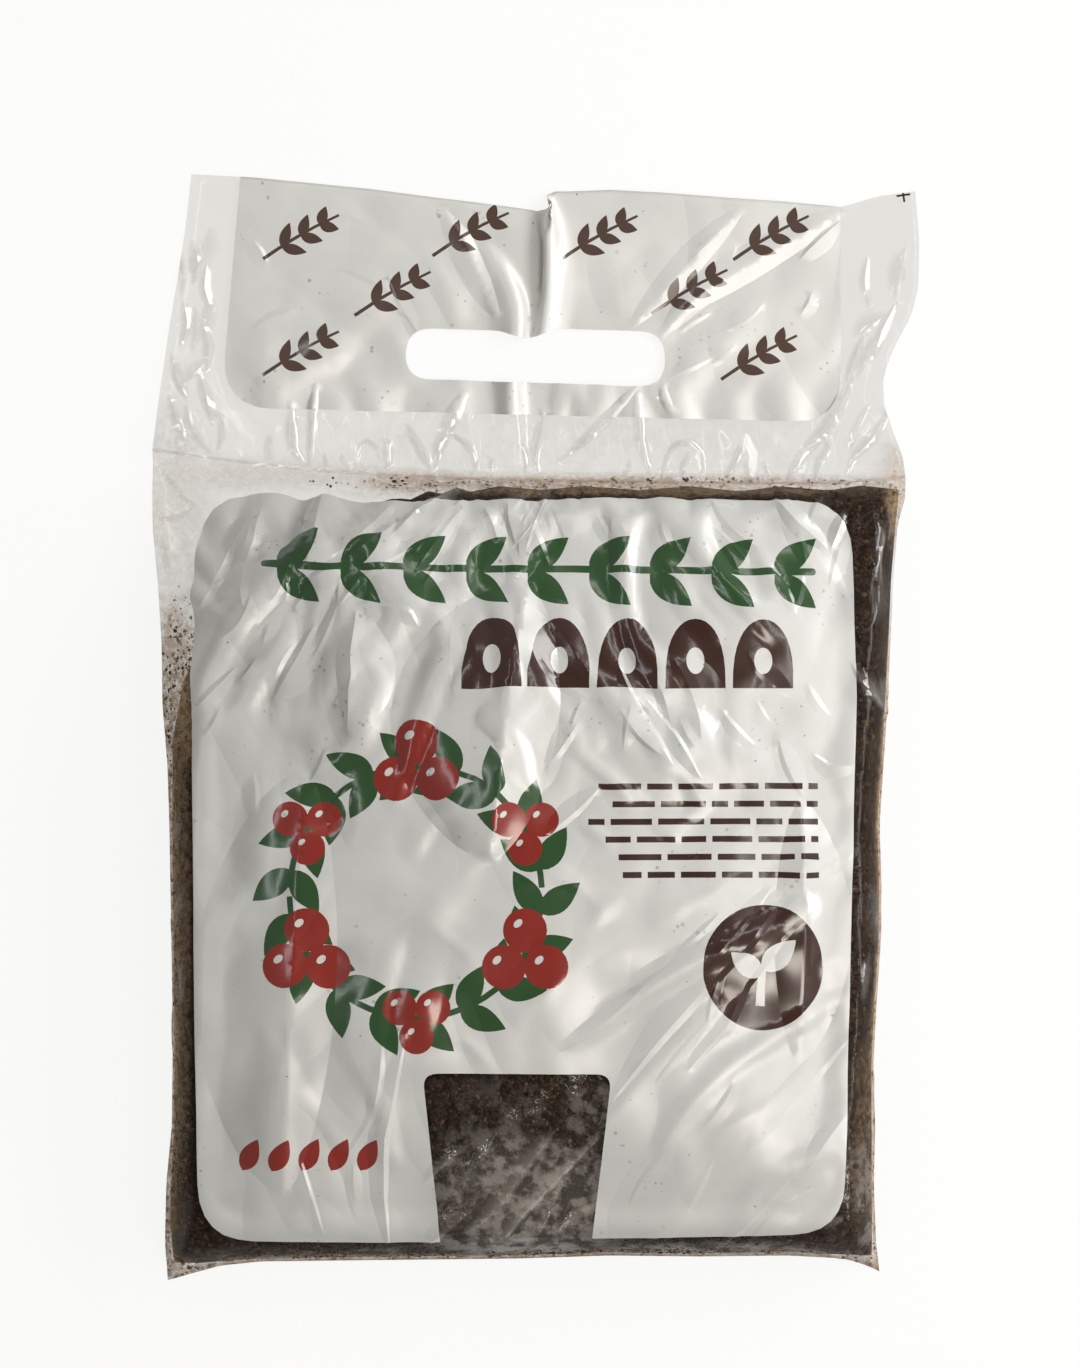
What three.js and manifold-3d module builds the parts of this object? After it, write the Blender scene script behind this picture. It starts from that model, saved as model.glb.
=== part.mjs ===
// A one-kilogram compost bag, lying on its back with the printed front up.
// It is a flat tube of clear film, welded across its foot, filled with compost and welded again
// below the header. The header's two plies are open at the mouth and share one punched hand slot.
// Frame: +X to the right of the printed front, +Y towards the mouth, +Z out of the front.
// The origin is on the surface that the bag lies on, under the middle of the bag's box.
// All sizes are in millimetres.
import * as THREE from "three";
import { mergeVertices } from "three/addons/utils/BufferGeometryUtils.js";
import Module from "manifold-3d";

// Film tube
const FILM_WIDTH = 230; // lay-flat width of the tube
const FILM_WALL = 0.1; // one ply of film
const SIDE_FOLD = 1; // flat strip along each folded side, where the plies lie together
const FOOT_WELD = 3; // width of the weld across the foot
const TOP_WELD = 3; // width of the weld between the filling and the header

// Filled body
const BODY_LENGTH = 246; // corners of the foot to the far side of the top weld
const BODY_HEIGHT = 42; // crown of the lying body above its back
const FOLD_HEIGHT = 15; // side folds above the back, at mid length
const SIDE_DRAW = 8; // how far the filling draws each side in from its flat place
const FOOT_DRAW = 9; // how far the middle of the foot is drawn in between its two corners
const FOOT_DRAW_REACH = 60; // length over which that draw dies away
const CROWN_POWER = 3; // squareness of the crown, across the bag and along it
const CROWN_ROUNDNESS = 0.6; // 0.5 leaves the edges upright, 1 leaves them as a wedge
const EAR_POWER = 6; // squareness of the foot's line between its corners
const BELLY = 1.5; // fall of the back below the side folds, cut off flat by the ground

// Header
const HEADER_LENGTH = 88; // top weld to mouth
const PLY_GAP = 0.4; // air between the two loose plies
const PLY_OPENING = 8; // length over which the plies part, above the top weld
const SLOT_LENGTH = 79;
const SLOT_WIDTH = 17.5;
const SLOT_DROP = 48; // middle of the slot below the mouth

// Vent holes through the back ply
const VENT_DIAMETER = 3;
const VENT_COUNT = 5;
const VENT_PITCH = 32;
const VENT_DROP = 40; // below the top weld

// Compost
const FILL_CLEARANCE = 0.3; // compost to film, all round
const FOOT_SPACE = 1.5; // compost stops this short of the foot weld
const HEAD_SPACE = 4; // compost stops this short of the top weld

// Facets
const COLUMNS = 22; // across the bag
const STATIONS = 22; // along the filled body
const VENT_SIDES = 12;
const SLOT_END_SIDES = 14;
const CUT_PAST = 1; // how far a cutting solid runs past what it cuts

const MOUTH_Y = (BODY_LENGTH + HEADER_LENGTH) / 2;
const FOOT_Y = -MOUTH_Y;
const TOP_WELD_END_Y = FOOT_Y + BODY_LENGTH;
const FILL_START_Y = FOOT_Y + FOOT_WELD;
const FILL_END_Y = TOP_WELD_END_Y - TOP_WELD;
const WELDED = 2 * FILM_WALL; // two plies, with nothing between them

const filmMaterial = new THREE.MeshStandardMaterial({
  name: "printed_film",
  color: 0xd9d8d4,
  roughness: 0.32,
  metalness: 0,
  transparent: true,
  opacity: 0.55,
});
const compostMaterial = new THREE.MeshStandardMaterial({
  name: "compost",
  color: 0x3a302a,
  roughness: 0.95,
  metalness: 0,
});

const wasm = await Module();
wasm.setup();

// 1 in the middle of a span from -1 to 1, falling to 0 at its ends along a superellipse.
const crown = (t) => Math.max(0, 1 - Math.abs(t) ** CROWN_POWER) ** CROWN_ROUNDNESS;

// Numbers from -1 to 1, closer together near the ends, where the bag's surface turns fastest.
const spread = (count) =>
  Array.from({ length: count + 1 }, (_, i) => -Math.cos((Math.PI * i) / count));

// A place along the bag as -1 at the foot weld, 1 at the top weld, and no further beyond them.
const alongFill = (y) =>
  THREE.MathUtils.clamp(
    (2 * y - FILL_START_Y - FILL_END_Y) / (FILL_END_Y - FILL_START_Y),
    -1,
    1,
  );

// How full the body is at a place along the bag: 0 at both welds and beyond them.
const fullness = (y) => crown(alongFill(y));

// How far the two header plies stand apart at a place along the bag.
const plyGap = (y) =>
  PLY_GAP * THREE.MathUtils.clamp((y - TOP_WELD_END_Y) / PLY_OPENING, 0, 1);

// One cross-section of the bag at a place along it. inset is how far the section lies inside the
// film's outer face: 0 for that face itself, more for the hollow and for the compost.
// Each point pair holds the front and the back of the section, from the left side to the right.
function section(y, inset) {
  const full = fullness(y);
  const half = FILM_WIDTH / 2 - SIDE_DRAW * full;
  const fold = FOLD_HEIGHT * full;
  const crest = BODY_HEIGHT * full + plyGap(y) * (1 - full);
  const fade = THREE.MathUtils.clamp(1 - (y - FOOT_Y) / FOOT_DRAW_REACH, 0, 1) ** 2;
  const pair = (u, x) => {
    const rise = crown(u);
    const front = WELDED + fold + (crest - WELDED * full - fold) * rise - inset;
    const back = Math.max(0, fold * (1 - BELLY * rise)) + inset;
    const drawn = FOOT_DRAW * fade * (1 - Math.abs(u) ** EAR_POWER);
    const place = y + drawn - inset * alongFill(y);
    const meeting = (front + back) / 2;
    return [
      new THREE.Vector3(x, place, front > back ? front : meeting),
      new THREE.Vector3(x, place, front > back ? back : meeting),
    ];
  };
  const pairs = spread(COLUMNS).map((u) => pair(u, u * (half - SIDE_FOLD - inset)));
  return inset ? pairs : [pair(-1, -half), ...pairs, pair(1, half)];
}

// A closed solid through a row of sections: a front skin, a back skin and a rim between them.
// Faces that shrink to nothing where the skins meet are left out.
function loft(sections) {
  const across = sections[0].length;
  const positions = sections.flat(2).flatMap((point) => point.toArray());
  const at = (row, column, side) => 2 * (row * across + column) + side;
  const faces = [];
  const quad = (a, b, c, d) => faces.push(a, b, c, a, c, d);
  const [FRONT, BACK] = [0, 1];
  const lastRow = sections.length - 1;
  const lastColumn = across - 1;
  for (let r = 0; r < lastRow; r++) {
    for (let c = 0; c < lastColumn; c++) {
      quad(at(r, c, FRONT), at(r, c + 1, FRONT), at(r + 1, c + 1, FRONT), at(r + 1, c, FRONT));
      quad(at(r, c, BACK), at(r + 1, c, BACK), at(r + 1, c + 1, BACK), at(r, c + 1, BACK));
    }
    quad(at(r, 0, BACK), at(r, 0, FRONT), at(r + 1, 0, FRONT), at(r + 1, 0, BACK));
    quad(
      at(r, lastColumn, FRONT),
      at(r, lastColumn, BACK),
      at(r + 1, lastColumn, BACK),
      at(r + 1, lastColumn, FRONT),
    );
  }
  for (let c = 0; c < lastColumn; c++) {
    quad(at(0, c, BACK), at(0, c + 1, BACK), at(0, c + 1, FRONT), at(0, c, FRONT));
    quad(
      at(lastRow, c, FRONT),
      at(lastRow, c + 1, FRONT),
      at(lastRow, c + 1, BACK),
      at(lastRow, c, BACK),
    );
  }
  const geometry = new THREE.BufferGeometry();
  geometry.setAttribute("position", new THREE.Float32BufferAttribute(positions, 3));
  geometry.setIndex(faces);
  return geometry;
}

// A three.js geometry as a solid that can be cut.
function solid(geometry) {
  const bare = geometry.clone();
  bare.deleteAttribute("normal");
  bare.deleteAttribute("uv");
  const merged = mergeVertices(bare, 1e-4);
  const triangles = [];
  for (let i = 0; i < merged.index.count; i += 3) {
    const [a, b, c] = merged.index.array.slice(i, i + 3);
    if (a !== b && b !== c && a !== c) triangles.push(a, b, c);
  }
  return new wasm.Manifold(
    new wasm.Mesh({
      numProp: 3,
      vertProperties: new Float32Array(merged.attributes.position.array),
      triVerts: new Uint32Array(triangles),
    }),
  );
}

// A solid as a named mesh of the scene.
function meshOf(name, cutSolid, material) {
  const { vertProperties, triVerts } = cutSolid.getMesh();
  const geometry = new THREE.BufferGeometry();
  geometry.setAttribute("position", new THREE.Float32BufferAttribute(vertProperties, 3));
  geometry.setIndex(new THREE.BufferAttribute(triVerts, 1));
  geometry.computeVertexNormals();
  const mesh = new THREE.Mesh(geometry, material);
  mesh.name = name;
  return mesh;
}

// Places along the filled body between two ends, closer together near the ends.
const stationsBetween = (start, end) =>
  spread(STATIONS).map((t) => THREE.MathUtils.lerp(start, end, (t + 1) / 2));

// The outside of the whole film, foot to mouth.
function filmOutside() {
  const places = [
    FOOT_Y,
    ...stationsBetween(FILL_START_Y, FILL_END_Y),
    TOP_WELD_END_Y,
    TOP_WELD_END_Y + PLY_OPENING,
    MOUTH_Y,
  ];
  return solid(loft(places.map((y) => section(y, 0))));
}

// The hollow of the filled body, between the two welds.
const bodyHollow = () =>
  solid(loft(stationsBetween(FILL_START_Y, FILL_END_Y).map((y) => section(y, FILM_WALL))));

// The space between the header's plies, out through the mouth.
function headerHollow() {
  const places = [TOP_WELD_END_Y, TOP_WELD_END_Y + PLY_OPENING, MOUTH_Y + CUT_PAST];
  return solid(loft(places.map((y) => section(y, FILM_WALL))));
}

// The hand slot, punched through both plies: a straight slot with round ends.
function handSlot() {
  const radius = SLOT_WIDTH / 2;
  const reach = SLOT_LENGTH / 2 - radius;
  const outline = new THREE.Shape();
  outline.moveTo(-reach, -radius);
  outline.lineTo(reach, -radius);
  outline.absarc(reach, 0, radius, -Math.PI / 2, Math.PI / 2, false);
  outline.lineTo(-reach, radius);
  outline.absarc(-reach, 0, radius, Math.PI / 2, (3 * Math.PI) / 2, false);
  const depth = WELDED + PLY_GAP + 2 * CUT_PAST;
  const prism = new THREE.ExtrudeGeometry(outline, {
    depth,
    bevelEnabled: false,
    curveSegments: SLOT_END_SIDES,
  });
  return solid(prism.translate(0, MOUTH_Y - SLOT_DROP, -CUT_PAST));
}

// A row of vent holes through the back ply only.
function ventHoles() {
  const depth = CUT_PAST + FILM_WALL + FILL_CLEARANCE / 2;
  const first = (-(VENT_COUNT - 1) * VENT_PITCH) / 2;
  const holes = Array.from({ length: VENT_COUNT }, (_, i) => {
    const hole = new THREE.CylinderGeometry(
      VENT_DIAMETER / 2,
      VENT_DIAMETER / 2,
      depth,
      VENT_SIDES,
    );
    hole.rotateX(Math.PI / 2);
    return hole.translate(
      first + i * VENT_PITCH,
      FILL_END_Y - VENT_DROP,
      depth / 2 - CUT_PAST,
    );
  });
  return holes.map(solid).reduce((joined, hole) => joined.add(hole));
}

// The film: outside less both hollows, the hand slot and the vents.
function filmBag() {
  const film = filmOutside()
    .subtract(bodyHollow())
    .subtract(headerHollow())
    .subtract(handSlot())
    .subtract(ventHoles());
  return meshOf("film_bag", film, filmMaterial);
}

// The compost: fills the hollow up to its clearance, from the first of the hollow's sections that
// clears the foot weld to the last that clears the top weld.
function compostFill() {
  const places = stationsBetween(FILL_START_Y, FILL_END_Y).filter(
    (y) => y >= FILL_START_Y + FOOT_SPACE && y <= FILL_END_Y - HEAD_SPACE,
  );
  const fill = solid(loft(places.map((y) => section(y, FILM_WALL + FILL_CLEARANCE))));
  return meshOf("compost_fill", fill, compostMaterial);
}

const compostBag = new THREE.Group();
compostBag.name = "compost_bag";
compostBag.add(filmBag(), compostFill());

export default compostBag;
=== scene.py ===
"""The looks of a compost bag: crinkled, printed clear film around its compost, lying on its back."""

import logging
import math
from dataclasses import dataclass, field
from enum import Enum
from typing import Callable, Iterable, Sequence, Union

import bpy
import numpy as np
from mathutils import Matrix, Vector
from mathutils.geometry import delaunay_2d_cdt


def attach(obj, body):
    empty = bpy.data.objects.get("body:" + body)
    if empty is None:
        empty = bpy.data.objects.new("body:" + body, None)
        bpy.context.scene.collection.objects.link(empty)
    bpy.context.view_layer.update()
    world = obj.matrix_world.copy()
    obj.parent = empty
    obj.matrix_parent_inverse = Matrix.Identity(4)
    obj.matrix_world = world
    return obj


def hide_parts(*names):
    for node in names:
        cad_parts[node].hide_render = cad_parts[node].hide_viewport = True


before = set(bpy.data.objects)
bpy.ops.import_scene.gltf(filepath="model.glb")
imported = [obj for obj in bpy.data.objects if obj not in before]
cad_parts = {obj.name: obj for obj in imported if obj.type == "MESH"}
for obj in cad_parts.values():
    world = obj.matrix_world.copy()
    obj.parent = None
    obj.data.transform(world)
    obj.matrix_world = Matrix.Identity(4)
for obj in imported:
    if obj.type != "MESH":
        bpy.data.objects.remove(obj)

LOG = logging.getLogger("compost_bag")
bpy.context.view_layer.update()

MM = 0.001
UNIT = 0.305  # millimetres in one unit of the outline drawing
DRAWING_CENTRE = (535.5, 726.5)  # the drawing's place above the row origin; its y runs down
BODY = "root"

Points = Sequence[tuple[float, float]]


def plan(points: Points) -> np.ndarray:
    """Places in the outline drawing, as millimetres in the row's XY plane.

    Args:
        points: drawing places, x to the right and y down.
    Returns:
        One row of x, y for each place.
    """
    drawn = np.asarray(points, float).reshape(-1, 2)
    return (drawn - DRAWING_CENTRE) * (UNIT, -UNIT)


def resample(curve: np.ndarray, shares: np.ndarray) -> np.ndarray:
    """Points of a polyline at shares of its length, 0 at its start and 1 at its end."""
    reach = np.r_[0, np.cumsum(np.linalg.norm(np.diff(curve, axis=0), axis=1))]
    return np.stack([np.interp(shares * reach[-1], reach, side) for side in curve.T], 1)


def coons(left: np.ndarray, right: np.ndarray, low: np.ndarray, high: np.ndarray,
          across: np.ndarray, along: np.ndarray) -> np.ndarray:
    """A grid of points between four border curves that meet at their corners.

    Args:
        left, right: border points at the shares in along.
        low, high: border points at the shares in across.
        across, along: shares from 0 to 1.
    Returns:
        Points in rows along the sides and columns across them.
    """
    u, v = across[None, :, None], along[:, None, None]
    ruled = (1 - u) * left[:, None] + u * right[:, None] + (1 - v) * low[None] + v * high[None]
    corners = (1 - v) * ((1 - u) * low[0] + u * low[-1]) + v * ((1 - u) * high[0] + u * high[-1])
    return ruled - corners


def soft_noise(x: np.ndarray, y: np.ndarray, size: float, seed: int) -> np.ndarray:
    """Smooth random heights from -1 to 1, with features about size wide."""
    table = np.random.default_rng(seed).uniform(-1, 1, (64, 64))
    fx, fy = x / size + 1000.3, y / size + 1000.7
    ix, iy = np.floor(fx).astype(int), np.floor(fy).astype(int)
    ease = [t**3 * (t * (t * 6 - 15) + 10) for t in (fx - ix, fy - iy)]

    def corner(dx: int, dy: int) -> np.ndarray:
        return table[(ix + dx) % 64, (iy + dy) % 64]

    low = corner(0, 0) * (1 - ease[0]) + corner(1, 0) * ease[0]
    high = corner(0, 1) * (1 - ease[0]) + corner(1, 1) * ease[0]
    return low * (1 - ease[1]) + high * ease[1]


def cubic(grid: np.ndarray, rows: np.ndarray, columns: np.ndarray) -> np.ndarray:
    """Values of a grid at places between its nodes, along smooth curves through them."""
    last_row, last_column = grid.shape[0] - 1, grid.shape[1] - 1
    r = np.clip(np.floor(rows).astype(int), 0, last_row - 1)
    c = np.clip(np.floor(columns).astype(int), 0, last_column - 1)

    def weights(t: np.ndarray) -> tuple[np.ndarray, ...]:
        return (-0.5 * t + t**2 - 0.5 * t**3, 1 - 2.5 * t**2 + 1.5 * t**3,
                0.5 * t + 2 * t**2 - 1.5 * t**3, -0.5 * t**2 + 0.5 * t**3)

    total = np.zeros((len(r), grid.shape[2]))
    for i, wr in enumerate(weights((rows - r)[:, None])):
        for j, wc in enumerate(weights((columns - c)[:, None])):
            node = grid[np.clip(r + i - 1, 0, last_row), np.clip(c + j - 1, 0, last_column)]
            total += wr * wc * node
    return total


def inside(x: np.ndarray, y: np.ndarray, loop: np.ndarray) -> np.ndarray:
    """Which places lie inside a closed loop."""
    found = np.zeros(np.shape(x), bool)
    for (ax, ay), (bx, by) in zip(loop, np.roll(loop, -1, axis=0)):
        if ay != by:
            crosses = ((ay > y) != (by > y)) & (x < (bx - ax) * (y - ay) / (by - ay) + ax)
            found ^= crosses
    return found


class Outline:
    """Borders of the bag as it lies, in the outline drawing, each from its low or left end."""

    LEFT = plan([(166, 1283), (164, 1245), (166, 1185), (172, 1125), (173, 1065), (173, 1005), (172, 945),
                 (171, 885), (170, 825), (168, 765), (163, 705), (162, 645), (158, 585), (152, 525), (151, 480),
                 (151, 449)])
    RIGHT = plan([(881, 1274), (877, 1245), (874, 1185), (875, 1125), (873, 1065), (876, 1005), (880, 945),
                  (881, 885), (879, 825), (883, 765), (887, 705), (890, 645), (893, 585), (898, 525), (906, 497),
                  (907, 476)])
    FOOT = plan([(166, 1283), (190, 1276), (220, 1268), (260, 1264), (340, 1263), (430, 1262), (520, 1261),
                 (610, 1258), (700, 1259), (790, 1258), (845, 1261), (866, 1267), (881, 1274)])
    SEAL = plan([(151, 449), (215, 458), (307, 469), (372, 473), (437, 477), (558, 480), (650, 482), (760, 483),
                 (850, 482), (907, 476)])
    HEADER_LEFT = plan([(151, 449), (157, 405), (166, 345), (175, 285), (184, 225), (190, 172)])
    HEADER_RIGHT = plan([(907, 476), (904, 455), (895, 432), (885, 405), (884, 375), (895, 345), (912, 315),
                         (920, 285), (921, 240), (917, 189)])
    MOUTH_LEFT = plan([(190, 172), (250, 175), (310, 181), (370, 187), (430, 195), (490, 202), (541, 207)])
    MOUTH_RIGHT = plan([(550, 191), (610, 188), (670, 191), (730, 196), (790, 200), (843, 205), (880, 194),
                        (917, 189)])
    PLEAT_SHARE = (0.462, 0.508)  # part of the mouth that the header's pleat takes up
    COMPOST_LEFT = plan([(173, 1265), (169, 1220), (174, 1130), (175, 1065), (174, 945), (173, 825), (173, 740),
                         (184, 680), (225, 600)])
    COMPOST_RIGHT = plan([(873, 1258), (872, 1185), (871, 1065), (874, 1005), (878, 945), (879, 885), (877, 825),
                          (881, 765), (888, 645), (891, 580), (896, 525), (900, 489)])
    COMPOST_FOOT = plan([(173, 1265), (200, 1265), (250, 1261), (340, 1259), (430, 1258), (520, 1257),
                         (610, 1254), (700, 1255), (790, 1254), (840, 1256), (873, 1258)])
    COMPOST_TOP = plan([(225, 600), (300, 532), (375, 503), (395, 497), (410, 499), (428, 490), (442, 493), (456, 486), (470, 491),
                        (500, 485), (540, 489), (585, 485), (640, 489), (690, 485), (740, 490), (780, 485),
                        (830, 489), (862, 484), (900, 488)])

    @classmethod
    def mouth(cls, across: np.ndarray) -> np.ndarray:
        """The mouth's edge, with the film of the pleat drawn together."""
        start, end = cls.PLEAT_SHARE
        left = resample(cls.MOUTH_LEFT, np.clip(across / start, 0, 1))
        right = resample(cls.MOUTH_RIGHT, np.clip((across - end) / (1 - end), 0, 1))
        blend = np.clip((across - start) / (end - start), 0, 1)[:, None]
        return left * (1 - blend) + right * blend

    @classmethod
    def film(cls, columns: int, body_rows: int, header_rows: int) -> np.ndarray:
        """The whole film's grid in the plane: body rows, the seal's row, then header rows."""
        across = np.linspace(0, 1, columns + 1)
        body, header = np.linspace(0, 1, body_rows + 1), np.linspace(0, 1, header_rows + 1)
        seal = resample(cls.SEAL, across)
        filled = coons(resample(cls.LEFT, body), resample(cls.RIGHT, body), resample(cls.FOOT, across), seal,
                       across, body)
        head = coons(resample(cls.HEADER_LEFT, header), resample(cls.HEADER_RIGHT, header), seal,
                     cls.mouth(across), across, header)
        return np.concatenate([filled, head[1:]])

    @classmethod
    def compost(cls, across: np.ndarray, along: np.ndarray) -> np.ndarray:
        """The compost's grid in the plane."""
        return coons(resample(cls.COMPOST_LEFT, along), resample(cls.COMPOST_RIGHT, along),
                     resample(cls.COMPOST_FOOT, across), resample(cls.COMPOST_TOP, across), across, along)

    @classmethod
    def compost_loop(cls) -> np.ndarray:
        """The compost's border as one closed loop."""
        return np.concatenate([cls.COMPOST_FOOT, cls.COMPOST_RIGHT[1:], cls.COMPOST_TOP[::-1][1:],
                               cls.COMPOST_LEFT[::-1][1:-1]])


@dataclass
class CompostHeap:
    """Heights of the compost's upper face over the plane, in millimetres."""

    height: float = 41.0
    fold_height: float = 19.0
    rim: float = 6.5  # width of the steep rim along the border
    rim_share: float = 0.45  # of the height that the rim gains
    reach: float = 92.0  # from the border to where the dome is full
    ends: tuple[float, float] = (-165.0, 78.0)  # where the fold's height starts and ends along Y
    softening: int = 9  # rounds the heap over its corners
    lumps: tuple[tuple[float, float, int], ...] = ((1.5, 34.0, 3), (0.8, 15.0, 5))  # height, width, seed
    corner: tuple[float, float] = (-125.0, -180.0)
    nodes: tuple[int, int] = (280, 251)  # rows and columns, one millimetre apart
    heights: np.ndarray = field(init=False)
    depth_in: np.ndarray = field(init=False)
    tilt: np.ndarray = field(init=False)  # how much longer a step out of the face is along Z than square to it

    STEEPEST = 2.4

    def __post_init__(self) -> None:
        y, x = np.mgrid[0 : self.nodes[0], 0 : self.nodes[1]].astype(float)
        x, y = x + self.corner[0], y + self.corner[1]
        depth = self._depth(x, y)
        fold = self.fold_height * self.fullness(y)
        z = fold + (self.height - fold) * self.rise(depth)
        for tall, wide, seed in self.lumps:
            z += tall * soft_noise(x, y, wide, seed) * np.clip(depth / 14, 0, 1)
        z = np.where(depth > 0, z, fold + 6 * depth)
        for _ in range(6):
            z[1:-1, 1:-1] += (z[1:-1, :-2] + z[1:-1, 2:] + z[:-2, 1:-1] + z[2:, 1:-1]) / 8 - z[1:-1, 1:-1] / 2
        self.heights, self.depth_in = z, depth
        self.slope_y, self.slope_x = np.gradient(z)
        self.tilt = np.minimum(np.sqrt(1 + self.slope_x**2 + self.slope_y**2), self.STEEPEST)

    def rise(self, depth: np.ndarray) -> np.ndarray:
        """Share of the height that the heap has gained at a distance from its border."""
        steep = np.sqrt(1 - (1 - np.clip(depth / self.rim, 0, 1)) ** 2)
        dome = np.sin(math.pi / 2 * np.clip(depth / self.reach, 0, 1))
        return self.rim_share * steep + (1 - self.rim_share) * dome

    def fullness(self, y: np.ndarray) -> np.ndarray:
        """How far the sides are spread at a place along the bag, 0 at both welds."""
        t = np.clip((y - self.ends[0]) / (self.ends[1] - self.ends[0]), 0, 1) * 2 - 1
        return (1 - np.abs(t) ** 3) ** 0.6

    def _depth(self, x: np.ndarray, y: np.ndarray) -> np.ndarray:
        """Distance inside the compost's border, rounded over the corners; negative outside it."""
        loop = Outline.compost_loop()
        far = np.full(x.shape, np.inf)
        for a, b in zip(loop, np.roll(loop, -1, axis=0)):
            edge = b - a
            t = np.clip(((x - a[0]) * edge[0] + (y - a[1]) * edge[1]) / (edge @ edge), 0, 1)
            far = np.minimum(far, np.hypot(x - a[0] - t * edge[0], y - a[1] - t * edge[1]))
        sharp = np.where(inside(x, y, loop), far, -far)
        span = np.arange(-3 * self.softening, 3 * self.softening + 1)
        bell = np.exp(-0.5 * (span / self.softening) ** 2)
        bell /= bell.sum()

        def blur(lines: np.ndarray) -> np.ndarray:
            padded = np.pad(lines, ((0, 0), (len(span) // 2,) * 2), mode="edge")
            return np.stack([np.convolve(line, bell, "valid") for line in padded])

        soft = blur(blur(sharp).T).T
        return np.where(sharp < 4, sharp, sharp + (soft - sharp) * np.clip((sharp - 4) / 14, 0, 1))

    def sample(self, values: np.ndarray, x: np.ndarray, y: np.ndarray) -> np.ndarray:
        """One of the heap's fields at places in the plane."""
        fx = np.clip(x - self.corner[0], 0, self.nodes[1] - 1.001)
        fy = np.clip(y - self.corner[1], 0, self.nodes[0] - 1.001)
        ix, iy = fx.astype(int), fy.astype(int)
        dx, dy = fx - ix, fy - iy
        low = values[iy, ix] * (1 - dx) + values[iy, ix + 1] * dx
        high = values[iy + 1, ix] * (1 - dx) + values[iy + 1, ix + 1] * dx
        return low * (1 - dy) + high * dy


@dataclass(frozen=True)
class Slack:
    """A patch of the film with more length than its place needs, so that it folds there."""

    x: float
    y: float
    along: float
    across: float
    angle: float  # of the folds, in degrees
    excess: float
    wave: float = 12.0  # millimetres from fold to fold

    def frame(self, x: np.ndarray, y: np.ndarray) -> tuple[np.ndarray, np.ndarray]:
        """Distances from the patch's middle, along its folds and across them."""
        cx, cy = plan([(self.x, self.y)])[0]
        c, s = math.cos(math.radians(self.angle)), math.sin(math.radians(self.angle))
        return (x - cx) * c + (y - cy) * s, (y - cy) * c - (x - cx) * s

    def weight(self, x: np.ndarray, y: np.ndarray) -> np.ndarray:
        """1 in the patch's middle, fading to 0 past its border."""
        a, b = self.frame(x, y)
        return np.exp(-(((a / (self.along * UNIT)) ** 2 + (b / (self.across * UNIT)) ** 2) ** 1.5))


SLACK = (
    Slack(755, 262, 130, 60, 36, 0.009, 18),
    Slack(640, 262, 70, 60, 60, 0.007, 18),
    Slack(400, 270, 90, 60, -40, 0.007, 20),
    Slack(300, 340, 80, 40, 35, 0.006, 18),
    Slack(192, 360, 100, 26, 105, 0.05, 6),
    Slack(860, 390, 120, 26, 58, 0.03, 9),
    Slack(740, 960, 200, 80, 48, 0.022, 16),
    Slack(810, 1140, 90, 60, 58, 0.025, 13),
    Slack(690, 1060, 150, 60, 44, 0.018, 16),
    Slack(390, 1130, 110, 22, 97, 0.02, 10),
    Slack(380, 660, 130, 80, 75, 0.03, 22),
    Slack(290, 640, 110, 70, 62, 0.02, 24),
    Slack(520, 540, 60, 200, 80, 0.02, 18),
    Slack(760, 560, 80, 120, 115, 0.02, 14),
    Slack(640, 720, 130, 80, 118, 0.015, 16),
    Slack(250, 900, 160, 60, 75, 0.007, 26),
    Slack(300, 1060, 140, 70, 80, 0.006, 28),
    Slack(520, 1160, 90, 70, 48, 0.02, 14),
)


@dataclass(frozen=True)
class Crease:
    """A fold line pressed into the film, with a steep flank and a long one."""

    points: Points  # drawing places
    height: float
    left: float  # reach of the flanks to both sides of the line, in millimetres
    right: float
    soft: bool = False  # a soft fold has a round ridge

    def line(self) -> np.ndarray:
        """The ridge, in the plane."""
        path = plan(self.points)
        length = np.linalg.norm(np.diff(path, axis=0), axis=1).sum()
        return resample(path, np.linspace(0, 1, max(4, int(length / 1.5))))

    def loops(self) -> list[np.ndarray]:
        """Lines for the net to follow, in the plane: the ridge and the foot of each flank."""
        ridge = self.line()
        ahead = np.gradient(ridge, axis=0)
        side = np.stack([-ahead[:, 1], ahead[:, 0]], 1) / np.linalg.norm(ahead, axis=1, keepdims=True)
        taper = self._taper(np.linspace(0, 1, len(ridge)))[:, None]
        feet = [ridge + side * taper * self.left, ridge - side * taper * self.right]
        return [ridge, *(foot[1:-1] for foot in feet)]

    @staticmethod
    def _taper(t: np.ndarray) -> np.ndarray:
        return np.sin(math.pi * np.clip(t, 0, 1)) ** 0.6

    def lift(self, places: np.ndarray) -> np.ndarray:
        """How far the film rises at places in the plane."""
        ridge = self.line()
        best, lift = np.full(len(places), np.inf), np.zeros(len(places))
        reach = max(self.left, self.right)
        near = np.flatnonzero(((places > ridge.min(0) - reach) & (places < ridge.max(0) + reach)).all(1))
        spots = places[near]
        nearest, height = best[near], lift[near]
        for i, (a, b) in enumerate(zip(ridge[:-1], ridge[1:])):
            edge = b - a
            t = np.clip(((spots - a) @ edge) / (edge @ edge), 0, 1)
            off = spots - a - t[:, None] * edge
            far = np.hypot(off[:, 0], off[:, 1])
            on_left = edge[0] * off[:, 1] - edge[1] * off[:, 0] > 0
            taper = self._taper((i + t) / (len(ridge) - 1))
            wide = np.where(on_left, self.left, self.right) * np.maximum(taper, 0.02)
            rise = self.height * taper * np.maximum(0, 1 - far / wide)
            closer = far < nearest
            nearest, height = np.where(closer, far, nearest), np.where(closer, rise, height)
        lift[near] = height
        return lift


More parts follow.
